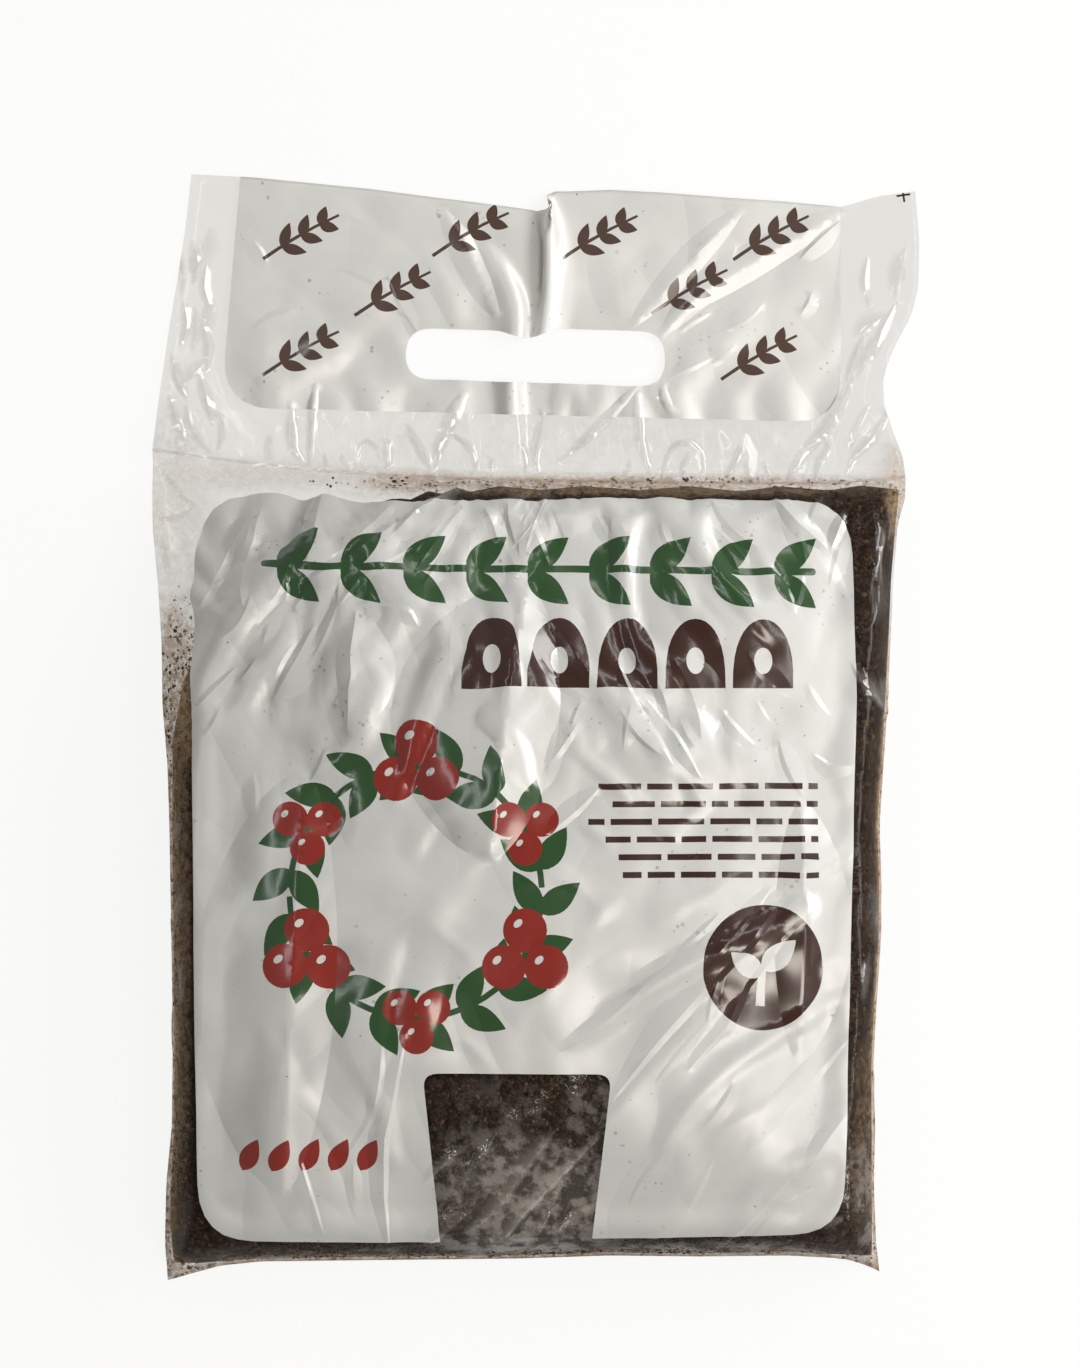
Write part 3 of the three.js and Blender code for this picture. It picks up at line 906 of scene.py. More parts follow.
class FrontPrint:
    """The print on the front: white panels, a clear pot-shaped window and plain ornaments."""

    HEADER_PANEL = rounded([(241, 150), (842, 150), (842, 421), (219, 406)], [0, 0, 46, 50])
    BODY_PANEL = rounded(
        [(195, 489), (430, 506), (660, 502), (847, 506), (853, 700), (839, 1229), (591, 1232), (611, 1071),
         (424, 1069), (441, 1237), (202, 1236), (197, 800)],
        [74, 90, 90, 54, 150, 52, 2, 13, 13, 2, 56, 150])
    REGISTER_MARK = (905, 193)
    SLOT = rounded([(405, 326), (500, 329), (529, 338), (553, 327.5), (665, 330), (666, 386), (405, 377)],
                   [27, 60, 25, 40, 27, 27, 25], 9)
    WELD_HALF = 1.6
    WREATH = (418.0, 890.0)
    WREATH_RADIUS = 124.0
    WREATH_LEAVES = 18
    WREATH_CLUSTERS = 6

    def fields(self) -> list[Field]:
        """Every field of ink, lowest first."""
        made = [Field(Ink.WELD, self._weld()), Field(Ink.PALE, self.HEADER_PANEL), Field(Ink.WHITE, self.BODY_PANEL)]
        for part in (self._leaf_row, self._mounds, self._lines, self._disc, self._dots, self._wreath, self._sprigs,
                     self._cross):
            made.extend(part())
        return made

    def _cross(self) -> Iterable[Field]:
        """The printer's register mark, in the corner of the header."""
        x, y = self.REGISTER_MARK
        for turn in (8, 98):
            stroke = spin(np.array([(-7.0, 0.0), (0.0, 0.0), (7.0, 0.0)]), turn, (x, y))
            yield Field(Ink.BROWN, ribbon(stroke, np.full(3, 2.0)))

    def _weld(self) -> np.ndarray:
        """The strip where the two plies are welded, along the seal."""
        seal = Outline.SEAL / (UNIT, -UNIT) + DRAWING_CENTRE
        return ribbon(seal, np.full(len(seal), 2 * self.WELD_HALF))

    def _leaf_row(self) -> Iterable[Field]:
        """A row of paired green leaves on one stem."""
        yield Field(Ink.GREEN, rounded([(268, 566), (812, 571), (812, 578), (268, 573)], [3, 3, 3, 3], 3))
        for i in range(9):
            x = 283 + 61 * i
            y = 570 + 0.01 * (x - 268)
            yield Field(Ink.GREEN, leaf((x, y), 52, 25, 38))
            yield Field(Ink.GREEN, leaf((x, y + 3), 52, 25, -38))

    def _mounds(self) -> Iterable[Field]:
        """A row of brown mounds."""
        for i in range(5):
            x = 492 + 67 * i
            t = np.linspace(0, math.pi, 19)
            arch = np.stack([x + 30 * np.cos(t), 689 - 68 * np.sin(t) ** 0.75], 1)
            yield Field(Ink.BROWN, arch)
            yield Field(Ink.WHITE, oval((x, 662), 9, 13))

    def _lines(self) -> Iterable[Field]:
        """Short brown strokes in six rows, even at the right."""
        rng = np.random.default_rng(9)
        for row, left in enumerate((598, 612, 588, 605, 618, 622)):
            x, y = float(left), 783 + 17.5 * row
            while x < 812:
                end = min(x + rng.uniform(16, 46), 815)
                yield Field(Ink.BROWN, bar(x, y, end, y + 6))
                x = end + 6

    def _disc(self) -> Iterable[Field]:
        """A brown disc with a white seedling."""
        yield Field(Ink.BROWN, oval((760, 965), 59, 62, 0, 56))
        yield Field(Ink.WHITE, ribbon(np.array([(757, 1003), (758, 985), (760, 962)], float), np.array([9, 8, 7.0])))
        yield Field(Ink.WHITE, leaf((759, 968), 44, 24, 42))
        yield Field(Ink.WHITE, leaf((759, 974), 40, 22, 142))

    def _dots(self) -> Iterable[Field]:
        """A short row of red drops."""
        for i in range(5):
            yield Field(Ink.RED, leaf((246 + 29 * i, 1166), 36, 19, 62))

    def _wreath(self) -> Iterable[Field]:
        """A ring of plain leaves with red berries on it, three by three."""
        (x, y), radius = self.WREATH, self.WREATH_RADIUS
        for side in (1, -1):
            t = np.linspace(math.radians(2), math.radians(178), 30) * side
            half = np.stack([x + radius * np.cos(t), y + radius * np.sin(t)], 1)
            yield Field(Ink.GREEN, ribbon(half, np.full(30, 6.0)))
        for i in range(self.WREATH_LEAVES):
            turn = 360 / self.WREATH_LEAVES * (i + 0.5)
            foot = tuple(spin(np.array([(radius, 0.0)]), turn, (x, y))[0])
            for lean in (48, 132):
                yield Field(Ink.GREEN, leaf(foot, 50, 25, turn + lean))
        for i in range(self.WREATH_CLUSTERS):
            turn = 360 / self.WREATH_CLUSTERS * i + 90
            size = (1.15, 0.9)[i % 2]
            middle = tuple(spin(np.array([(radius, 0.0)]), turn, (x, y))[0])
            for berry in range(3):
                spot = tuple(spin(np.array([(21.0 * size, 0.0)]), turn + 120 * berry, middle)[0])
                yield Field(Ink.RED, oval(spot, 19 * size, 19 * size, 0, 26))
                glint = (spot[0] - 6 * size, spot[1] - 6 * size)
                yield Field(Ink.WHITE, oval(glint, 4.5 * size, 3 * size, 45, 12))

    def _sprigs(self) -> Iterable[Field]:
        """Small brown sprigs across the header."""
        for x, y in ((300, 235), (392, 292), (470, 232), (600, 236), (690, 290), (772, 236), (300, 352), (760, 356)):
            stem = spin(np.array([(-44.0, 0), (-15, 2), (15, 2), (44, 0)]), 30, (x, y))
            yield Field(Ink.FADED, ribbon(stem, np.array([3.5, 3.5, 3.0, 2.5])))
            for k, at in enumerate((-22, 0, 22)):
                place = tuple(spin(np.array([(float(at), 1.0)]), 30, (x, y))[0])
                yield Field(Ink.FADED, leaf(place, 26 - 3 * k, 11, 30 + 42))
                yield Field(Ink.FADED, leaf(place, 26 - 3 * k, 11, 30 - 42))


@dataclass
class PlyMesh:
    """Triangles of one ply, in rows and columns of the solver's net."""

    places: np.ndarray  # row, column
    faces: np.ndarray
    shared: dict[tuple[int, int], int]  # border nodes that both plies have
    folded: np.ndarray  # pairs of points that lie next to each other on an open line


class FilmBag:
    """The film: front and back ply, folded at the sides, welded at the foot and the seal."""

    NAME = "printed_film"
    THICKNESS = 0.12
    FLAT = (0.46, 0.346)  # the film before it is folded into a tube and welded, in metres
    BACK_STRIDE = 3
    PLY_GAP = 0.4
    KEEP_OFF = 0.42  # net nodes this close to a printed edge, in cells, make way for it
    LOOSE_HEIGHT = 0.5  # of loose crumbs over the back ply
    FULL_FOLD = 0.8  # lift of a fold that shows in full
    PRESS_RISE = 2.0  # lift of a fold that gets its full grey of painted shade and its full gloss
    FOOT_RIM, FOOT_DUST = 2.4, 0.95  # width and strength of the dusty strip along the foot
    RIM = (4.5, 1.5)  # width of the dusty rim on the left and on the right

    def __init__(self, solver: FilmSolver, print_: FrontPrint) -> None:
        self.solver, self.print = solver, print_
        self.rows, self.columns = (n - 1 for n in solver.points.shape[:2])
        self.creases = [*CREASES, *SEAL_FOLDS, *small_creases()]

    def _border(self) -> list[tuple[int, int]]:
        """Nodes round the ply, in order."""
        r, c = self.rows, self.columns
        return ([(0, j) for j in range(c)] + [(i, c) for i in range(r)]
                + [(r, j) for j in range(c, 0, -1)] + [(i, 0) for i in range(r, 0, -1)])

    def _dense(self, drawn: Points) -> np.ndarray:
        """A closed loop of the drawing in the plane, with points less than a cell of the net apart."""
        spots = plan(drawn)
        made = []
        for a, b in zip(spots, np.roll(spots, -1, axis=0)):
            count = max(1, int(np.ceil(np.linalg.norm(b - a) / (0.9 * self.solver.step))))
            made.extend(a + (b - a) * t for t in np.arange(count) / count)
        return np.array(made)

    def _located(self, paths: Sequence[np.ndarray]) -> list[np.ndarray]:
        """Paths in the plane as rows and columns of the net."""
        ends = np.cumsum([len(path) for path in paths])[:-1]
        return np.split(np.stack(self.solver.locate(np.concatenate(paths)), 1), ends)

    def _triangulate(self, nodes: Iterable[tuple[int, int]], loops: Sequence[np.ndarray],
                     round_lines: Sequence[np.ndarray] = (), crisp_lines: Sequence[np.ndarray] = ()) -> PlyMesh:
        """Fills the ply with triangles that follow its border, every closed loop and every open line."""
        border = self._border()
        spots: list[tuple[float, float]] = list(border)
        edges = [(i, (i + 1) % len(border)) for i in range(len(border))]
        taken = {}
        first_crisp = len(edges) + sum(map(len, loops)) + sum(len(line) - 1 for line in round_lines)
        for path, closed in [*((loop, True) for loop in loops), *((line, False) for line in (*round_lines, *crisp_lines))]:
            start, count = len(spots), len(path)
            spots.extend(map(tuple, path))
            edges.extend((start + i, start + (i + 1) % count) for i in range(count if closed else count - 1))
            for r, c in path:
                if math.hypot(r - round(r), c - round(c)) < self.KEEP_OFF:
                    taken[(round(r), round(c))] = True
        at_border = set(border)
        spots.extend(n for n in nodes if n not in at_border and n not in taken)
        verts, links, faces, origins, sources_of, _ = delaunay_2d_cdt(
            [Vector((c, r)) for r, c in spots], edges, [], 0, 1e-5)
        places = np.array([(v.y, v.x) for v in verts])
        shared = {}
        for made, sources in enumerate(origins):
            for source in sources:
                if source < len(border):
                    shared[border[source]] = made
        folded = [pair for pair, sources in zip(links, sources_of) if any(s >= first_crisp for s in sources)]
        return PlyMesh(places, np.array([f for f in faces if len(f) == 3]), shared, np.array(folded, int).reshape(-1, 2))

    def build(self) -> bpy.types.Object:
        """Makes the film as one closed thin shell, with one material place for each ink."""
        fields = self.print.fields()
        *loops, slot = self._located([self._dense(shape) for shape in (*(f.loop for f in fields), self.print.SLOT)])
        rim = np.concatenate([slot, slot[:1]])
        ridges = [(crease.soft, *crease.loops()) for crease in self.creases]
        round_lines = [ridge for soft, ridge, *_ in ridges if soft]
        crisp_lines = [line for soft, *lines in ridges for line in (lines[1:] if soft else lines)]
        lines = self._located([*round_lines, *crisp_lines])
        front = self._triangulate(((i, j) for i in range(self.rows + 1) for j in range(self.columns + 1)),
                                  loops, lines[:len(round_lines)], [rim, *lines[len(round_lines):]])
        stride = self.BACK_STRIDE
        back = self._triangulate(((i, j) for i in range(stride, self.rows, stride)
                                  for j in range(stride, self.columns, stride)), [], [], [rim])
        front.faces, inks = self._inked(front, fields, loops, slot)
        middle = back.places[back.faces].mean(1)
        back.faces = back.faces[~inside(middle[:, 0], middle[:, 1], slot)]
        LOG.info("film: %d front and %d back triangles", len(front.faces), len(back.faces))
        points = np.concatenate([self._front_points(front.places), self._back_points(back.places)])
        link = np.arange(len(front.places), len(points))
        for node, made in back.shared.items():
            if node[0] < self.rows or node[1] in (0, self.columns):
                link[made] = front.shared[node]
        faces = np.concatenate([front.faces, link[back.faces[:, ::-1]]])
        inks = np.concatenate([inks, np.full(len(back.faces), Ink.CLEAR.value)])
        plane = cubic(self.solver.plane, *np.concatenate([front.places, back.places]).T)
        dust = self._rim(np.concatenate([front.places, back.places]))
        folds = np.concatenate([self._folds(front.places), np.zeros(len(back.places))])
        heap = self.solver.heap
        # The dust mark also carries the painted light beside the panel's left edge.
        marks = {"clouded": bloom(CLOUDED, plane), "dust_and_painted_light": np.maximum(bloom(DUST_AND_PAINTED_LIGHT, plane), dust), "folded": folds,
                 "pressed": np.clip(heap.sample(heap.depth_in, *plane.T) / self.PRESS_RISE, 0, 1)}
        return self._object(points, faces, inks, marks, front.folded)

    def _inked(self, ply: PlyMesh, fields: Sequence[Field], loops: Sequence[np.ndarray],
               slot: np.ndarray) -> tuple[np.ndarray, np.ndarray]:
        """The ply's triangles outside the slot, and the ink on each."""
        middle = ply.places[ply.faces].mean(1)
        inks = np.full(len(ply.faces), Ink.CLEAR.value)
        for one, loop in zip(fields, loops):
            low, high = loop.min(0), loop.max(0)
            near = np.flatnonzero(((middle >= low) & (middle <= high)).all(1))
            within = near[inside(middle[near, 0], middle[near, 1], loop)]
            inks[within] = one.ink.value
        kept = ~inside(middle[:, 0], middle[:, 1], slot)
        return ply.faces[kept], inks[kept]

    def _front_points(self, places: np.ndarray) -> np.ndarray:
        """Where the front ply's points lie, with the creases pressed in."""
        r, c = places.T
        plane = cubic(self.solver.plane, r, c)
        lift = np.zeros(len(places))
        for crease in self.creases:
            lift = np.maximum(lift, crease.lift(plane))
        facets = sum(patch.lift(*plane.T) for patch in CRUMPLES)
        lift += facets * np.clip(self._from_border(places) / 5, 0, 1)
        return cubic(self.solver.points, r, c) + cubic(self.solver.normals(), r, c) * lift[:, None]

    def _folds(self, places: np.ndarray) -> np.ndarray:
        """How much of a fold the front ply makes at its points, from 0 to 1; the clear film greys its folds by it as
        painted shade.
        """
        plane = cubic(self.solver.plane, *places.T)
        return np.clip(np.maximum.reduce([c.lift(plane) for c in self.creases]) / self.FULL_FOLD, 0, 1)

    def _from_border(self, places: np.ndarray) -> np.ndarray:
        """Distance along the film from its folds, its foot and its seal, in millimetres."""
        r, c = places.T
        side = np.minimum(c, self.columns - c)
        return np.minimum.reduce([side, r, np.abs(r - self.solver.body_rows)]) * self.solver.step

    def inner_floor(self, places: np.ndarray) -> np.ndarray:
        """Points just inside the back ply, over places in the plane."""
        return self._back_points(np.stack(self.solver.locate(places), 1)) + (0, 0, self.LOOSE_HEIGHT)

    def _rim(self, places: np.ndarray) -> np.ndarray:
        """Dust that gathers in the folds beside the compost and over the foot."""
        r, c = places.T
        step, rows = self.solver.step, self.solver.body_rows
        left, right, foot = c * step, (self.columns - c) * step, r * step
        sides = np.maximum(np.exp(-((left / self.RIM[0]) ** 2)), np.exp(-((right / self.RIM[1]) ** 2)))
        sides *= np.clip((0.86 - r / rows) / 0.16, 0, 1)
        return np.maximum(0.9 * sides, self.FOOT_DUST * np.exp(-((foot / self.FOOT_RIM) ** 2)))

    def _back_points(self, places: np.ndarray) -> np.ndarray:
        """Where the back ply's points lie: on the ground under the compost, close to the front elsewhere."""
        s = self.solver
        r, c = places.T
        front = cubic(s.points, r, c)
        out = cubic(s.normals(), r, c)
        u = np.abs(2 * c / self.columns - 1)
        close = front - out * (self.PLY_GAP * (1 - u**20))[:, None]
        plane = cubic(s.plane, r, c)
        v = np.clip(r / s.body_rows, 0, 1)
        side = cubic(s.points, r, np.where(c < self.columns / 2, 0, self.columns).astype(float))[:, 2]
        foot = cubic(s.points, np.zeros_like(r), c)[:, 2]
        seal = cubic(s.points, np.full_like(r, s.body_rows), c)[:, 2] - self.PLY_GAP
        rise = np.maximum.reduce([side * u**6, foot * (1 - v) ** 12, seal * v**16])
        ground = np.column_stack([plane, np.maximum(rise, 0.2)])
        blend = np.clip((r - s.body_rows + 2) / 2, 0, 1)[:, None]
        return ground * (1 - blend) + close * blend

    def _object(self, points: np.ndarray, faces: np.ndarray, inks: np.ndarray,
                marks: dict[str, np.ndarray], folded: np.ndarray) -> bpy.types.Object:
        """Turns points and triangles into the finished shell, with marks as its attributes and crisp folds."""
        used, index = np.unique(faces, return_inverse=True)
        mesh = bpy.data.meshes.new(self.NAME)
        mesh.from_pydata((points[used] * MM).tolist(), [], index.reshape(-1, 3).tolist())
        mesh.polygons.foreach_set("material_index", inks.astype(np.int32))
        mesh.polygons.foreach_set("use_smooth", np.ones(len(inks), bool))
        ends = np.empty(2 * len(mesh.edges), np.int32)
        mesh.edges.foreach_get("vertices", ends)
        order = (len(points), 1)
        crisp = np.isin(used[np.sort(ends.reshape(-1, 2), 1)] @ order, np.sort(folded, 1) @ order)
        mesh.attributes.new("sharp_edge", "BOOLEAN", "EDGE").data.foreach_set("value", crisp)
        for name, values in marks.items():
            mesh.attributes.new(name, "FLOAT", "POINT").data.foreach_set("value", values[used].astype(np.float32))
        film = bpy.data.objects.new(self.NAME, mesh)
        bpy.context.scene.collection.objects.link(film)
        finishes = {ink: FINISHES[ink].make() for ink in Ink}
        unseen = InnerFilm().make()
        for ink in Ink:
            mesh.materials.append(finishes[ink])
        for ink in Ink:
            mesh.materials.append(unseen if ink in (Ink.CLEAR, Ink.WELD) else finishes[Ink.WHITE])
        shell = film.modifiers.new("shell", "SOLIDIFY")
        shell.thickness = self.THICKNESS * MM
        shell.offset = -1
        shell.material_offset = shell.material_offset_rim = len(Ink)
        return applied(film)


def applied(obj: bpy.types.Object) -> bpy.types.Object:
    """The object with its modifiers made part of its mesh."""
    graph = bpy.context.evaluated_depsgraph_get()
    made = bpy.data.meshes.new_from_object(obj.evaluated_get(graph), depsgraph=graph)
    obj.modifiers.clear()
    old, obj.data = obj.data, made
    name = old.name
    bpy.data.meshes.remove(old)
    made.name = name
    return obj


Value = Union["Wire", float, tuple]


class Wire:
    """One output of a shader node, with arithmetic that adds the nodes it needs."""

    def __init__(self, board: "Board", socket: bpy.types.NodeSocket) -> None:
        self.board, self.socket = board, socket

    def _math(self, operation: str, *values: Value) -> "Wire":
        return self.board.add("ShaderNodeMath", {"operation": operation}, dict(enumerate(values)))

    def __add__(self, other: Value) -> "Wire":
        return self._math("ADD", self, other)

    def __radd__(self, other: Value) -> "Wire":
        return self._math("ADD", other, self)

    def __sub__(self, other: Value) -> "Wire":
        return self._math("SUBTRACT", self, other)

    def __rsub__(self, other: Value) -> "Wire":
        return self._math("SUBTRACT", other, self)

    def __mul__(self, other: Value) -> "Wire":
        return self._math("MULTIPLY", self, other)

    def __rmul__(self, other: Value) -> "Wire":
        return self._math("MULTIPLY", other, self)

    def __lt__(self, other: Value) -> "Wire":
        return self._math("LESS_THAN", self, other)

    def __abs__(self) -> "Wire":
        return self._math("ABSOLUTE", self)

    def ramp(self, low: Value, high: Value) -> "Wire":
        """0 below low, 1 above high and smooth in between."""
        return self.board.add("ShaderNodeMapRange", {"interpolation_type": "SMOOTHSTEP"},
                              {"Value": self, "From Min": low, "From Max": high})


class Board:
    """The node tree of one material or of the world."""

    def __init__(self, owner: bpy.types.Material | bpy.types.World) -> None:
        self.owner = owner
        owner.use_nodes = True
        self.tree = owner.node_tree
        self.tree.nodes.clear()

    @classmethod
    def material(cls, name: str) -> "Board":
        """The board of a new material."""
        return cls(bpy.data.materials.new(name))

    def add(self, kind: str, settings: dict | None = None, values: dict | None = None, out: int | str = 0) -> Wire:
        """Adds a node.

        Args:
            kind: the node's type.
            settings: properties of the node.
            values: inputs by name or number, each a wire or a constant.
            out: the output to return.
        Returns:
            That output.
        """
        node = self.tree.nodes.new(kind)
        for key, value in (settings or {}).items():
            setattr(node, key, value)
        for key, value in (values or {}).items():
            if isinstance(value, Wire):
                self.tree.links.new(value.socket, node.inputs[key])
            else:
                node.inputs[key].default_value = value
        return Wire(self, node.outputs[out])

    def place(self) -> Wire:
        """The point being shaded, in the row frame."""
        return self.add("ShaderNodeTexCoord", out="Object")

    def noise(self, size_mm: float, detail: float = 2.0, rough: float = 0.5) -> Wire:
        """Cloudy noise from 0 to 1, with features of about that size."""
        return self.add("ShaderNodeTexNoise", None, {"Vector": self.place(), "Scale": 1 / (size_mm * MM),
                                                     "Detail": detail, "Roughness": rough})

    def creases(self, size_mm: float, turn: float, stretch: float = 2.6) -> Wire:
        """Sharp valleys between soft facets, drawn out along a direction in degrees."""
        inputs = {"Vector": self.place(), "Rotation": (0, 0, math.radians(turn)), "Scale": (stretch, 1, 1)}
        spot = self.add("ShaderNodeMapping", {"vector_type": "TEXTURE"}, inputs)
        cloud = self.add("ShaderNodeTexNoise", None, {"Vector": spot, "Scale": 1 / (size_mm * MM), "Detail": 0.0})
        return abs(cloud - 0.5) * 2.0

    def crinkles(self, depth_mm: float, more: Value = 0.0) -> Wire:
        """The normal of film with fine creases in two directions, and more height where that is given."""
        one, other = self.creases(20, 62), self.creases(14, 112)
        where = self.noise(60, 1).ramp(0.42, 0.58)
        return self.bump(one * where + other * (1.0 - where) + more, depth_mm)

    def specks(self, spacing_mm: float, radius: float) -> Wire:
        """1 inside scattered specks of uneven size."""
        inputs = {"Vector": self.place(), "Scale": 1 / (spacing_mm * MM)}
        near = self.add("ShaderNodeTexVoronoi", None, inputs)
        luck = self.add("ShaderNodeTexWhiteNoise", {"noise_dimensions": "3D"},
                        {"Vector": self.add("ShaderNodeTexVoronoi", None, inputs, "Position")}, "Value")
        return near < luck._math("POWER", luck, 3.0) * radius

    def mark(self, name: str) -> Wire:
        """An attribute of the piece."""
        return self.add("ShaderNodeAttribute", {"attribute_name": name}, None, "Fac")

    def mix(self, factor: Value, a: Value, b: Value) -> Wire:
        """A colour between a and b."""
        return self.add("ShaderNodeMix", {"data_type": "RGBA"}, {0: factor, 6: a, 7: b}, 2)

    def bump(self, height: Wire, depth_mm: float) -> Wire:
        """A normal that is tilted by a height from 0 to 1."""
        return self.add("ShaderNodeBump", None, {"Height": height, "Distance": depth_mm * MM, "Strength": 1.0})

    def finish(self, shader: Wire, output: str = "ShaderNodeOutputMaterial") -> bpy.types.ID:
        """Makes a shader the surface of the board's owner, and returns the owner."""
        end = self.tree.nodes.new(output)
        self.tree.links.new(shader.socket, end.inputs["Surface"])
        return self.owner


Colour = tuple[float, float, float, float]


@dataclass(frozen=True)
class ClearFilm:
    """Clear film with a strong gloss, clouded and dustier in places, with painted light in one dusty place and a grey
    of painted shade along its folds.
    """

    name: str = "clear_film"
    tint: Colour = (0.975, 0.965, 0.95, 1)
    body: float = 0.09  # share of the light that the film itself sends back
    pressed_body: float = 0.035  # the same where it lies on compost
    fold_share: float = 0.34  # added on a fold, for more gloss and for the grey that paints shade there
    body_colour: Colour = (0.025, 0.02, 0.016, 1)
    cloud_colour: Colour = (0.44, 0.395, 0.35, 1)
    # also the colour of the light painted over the shade beside the white panel
    dust_colour: Colour = (0.5, 0.345, 0.21, 1)
    dust_roughness: float = 0.8
    dust_gloss: float = 0.1
    speck_colour: Colour = (0.035, 0.022, 0.014, 1)
    # grey on folds: partly the milkiness of creased film, partly painted shade along the creases
    fold_shade_colour: Colour = (0.5, 0.48, 0.45, 1)
    roughness: float = 0.1
    gloss_ior: float = 2.6
    crinkle: float = 0.5  # depth of the fine creases, in millimetres
    crumbs: float = 0.3  # how deep crumbs press into the film, for one of the creases' depth

    def make(self) -> bpy.types.Material:
        """Makes the material."""
        board = Board.material(self.name)
        clouded, dust_and_painted_light = board.mark("clouded"), board.mark("dust_and_painted_light")
        cloud = clouded * (0.2 + 0.8 * board.noise(7, 5, 0.7).ramp(0.44, 0.6))
        # dust, and in one place light painted over shade
        dust = dust_and_painted_light * (0.4 + 0.6 * board.noise(2.4, 3, 0.7).ramp(0.35, 0.65))
        speck = board.specks(1.2, 0.7) * dust_and_painted_light.ramp(0.25, 0.65) * board.noise(8, 2).ramp(0.36, 0.5)
        folded = board.mark("folded")
        # folds turn grey: painted shade along the creases, partly milky film
        colour = board.mix(folded, self.body_colour, self.fold_shade_colour)
        colour = board.mix(cloud.ramp(0, 0.25), colour, self.cloud_colour)
        dust_and_painted_light_colour = board.mix(dust.ramp(0, 0.25), self.body_colour, self.dust_colour)
        pressed = board.mark("pressed")
        crumbs = pressed * board.noise(2.2, 2, 0.6)
        body = board.add("ShaderNodeBsdfPrincipled", None, {
            "Base Color": colour, "Roughness": self.roughness, "IOR": self.gloss_ior,
            "Normal": board.crinkles(self.crinkle, crumbs * self.crumbs)})
        through = board.add("ShaderNodeBsdfTransparent", None, {"Color": self.tint})
        plain = self.body + (self.pressed_body - self.body) * pressed + self.fold_share * folded
        film = board.add("ShaderNodeMixShader", None, {0: plain + 0.5 * cloud, 1: through, 2: body})
        dust_and_painted_light_shader = board.add("ShaderNodeBsdfPrincipled", None, {
            "Base Color": board.mix(speck, dust_and_painted_light_colour, self.speck_colour), "Roughness": self.dust_roughness,
            "Specular IOR Level": self.dust_gloss})
        dust_and_painted_light_mix = {0: 0.95 * dust + 0.7 * speck, 1: film, 2: dust_and_painted_light_shader}
        return board.finish(board.add("ShaderNodeMixShader", None, dust_and_painted_light_mix))


@dataclass(frozen=True)
class InnerFilm:
    """The inner face of clear film, which shows nothing of its own."""

    name: str = "inner_film"

    def make(self) -> bpy.types.Material:
        """Makes the material."""
        board = Board.material(self.name)
        return board.finish(board.add("ShaderNodeBsdfTransparent", None, {"Color": (1, 1, 1, 1)}))


@dataclass(frozen=True)
class PrintedFilm:
    """Film under an opaque ink, with a satin gloss and a little dust."""

    name: str
    colour: Colour
    mottle: float = 0.05
    roughness: float = 0.36
    metallic: float = 0.0
    gloss: float = 0.2
    coat: float = 0.7
    dust_colour: Colour = (0.07, 0.045, 0.035, 1)
    dust_radius: float = 0.055
    crinkle: float = 0.5  # depth of the fine creases, in millimetres

    def make(self) -> bpy.types.Material:
        board = Board.material(self.name)
        cloud = board.noise(26, 4, 0.6).ramp(0.3, 0.75)
        darker = tuple(c * (1 - 2 * self.mottle) for c in self.colour[:3]) + (1.0,)
        colour = board.mix(cloud, darker, self.colour)
        colour = board.mix(board.specks(5, self.dust_radius), colour, self.dust_colour)
        fine = board.specks(1.7, 0.4) * board.noise(16, 2).ramp(0.56, 0.68)
        colour = board.mix(0.4 * fine, colour, self.dust_colour)
        body = board.add("ShaderNodeBsdfPrincipled", None, {
            "Base Color": colour, "Roughness": self.roughness, "Metallic": self.metallic, "IOR": 1.5,
            "Specular IOR Level": self.gloss, "Coat Weight": self.coat, "Coat Roughness": 0.15, "Coat IOR": 1.8,
            "Normal": board.crinkles(self.crinkle)})
        return board.finish(body)


@dataclass(frozen=True)
class CompostFinish:
    """Dark, moist crumbs, each of its own shade."""

    name: str = "compost"
    dark: Colour = (0.013, 0.008, 0.006, 1)
    light: Colour = (0.155, 0.094, 0.055, 1)

    def make(self) -> bpy.types.Material:
        """Makes the material."""
        board = Board.material(self.name)
        grain = board.noise(1.1, 3, 0.75).ramp(0.38, 0.72)
        patch = board.noise(9, 3).ramp(0.3, 0.75)
        shade = board.mark("shade")
        colour = board.mix(grain * (0.15 + 0.35 * patch) + 0.55 * shade * shade, self.dark, self.light)
        body = board.add("ShaderNodeBsdfPrincipled", None, {
            "Base Color": colour, "Roughness": 0.8, "Specular IOR Level": 0.15, "Normal": board.bump(board.noise(0.6, 3, 0.7), 0.4)})
        return board.finish(body)


FINISHES = {
    Ink.CLEAR: ClearFilm(),
    Ink.WELD: ClearFilm(name="welded_film", body=0.4, body_colour=(0.5, 0.4, 0.34, 1)),
    Ink.WHITE: PrintedFilm("white_print", (0.635, 0.635, 0.62, 1), roughness=0.38, metallic=0.12, gloss=0.5, coat=0.1),
    Ink.GREEN: PrintedFilm("green_print", (0.02, 0.07, 0.018, 1)),
    Ink.BROWN: PrintedFilm("brown_print", (0.038, 0.011, 0.006, 1)),
    Ink.RED: PrintedFilm("red_print", (0.25, 0.018, 0.011, 1)),
    Ink.PALE: PrintedFilm("pale_print", (0.74, 0.738, 0.72, 1), roughness=0.38, metallic=0.12, gloss=0.5, coat=0.1),
    Ink.FADED: PrintedFilm("faded_print", (0.085, 0.05, 0.037, 1)),
}


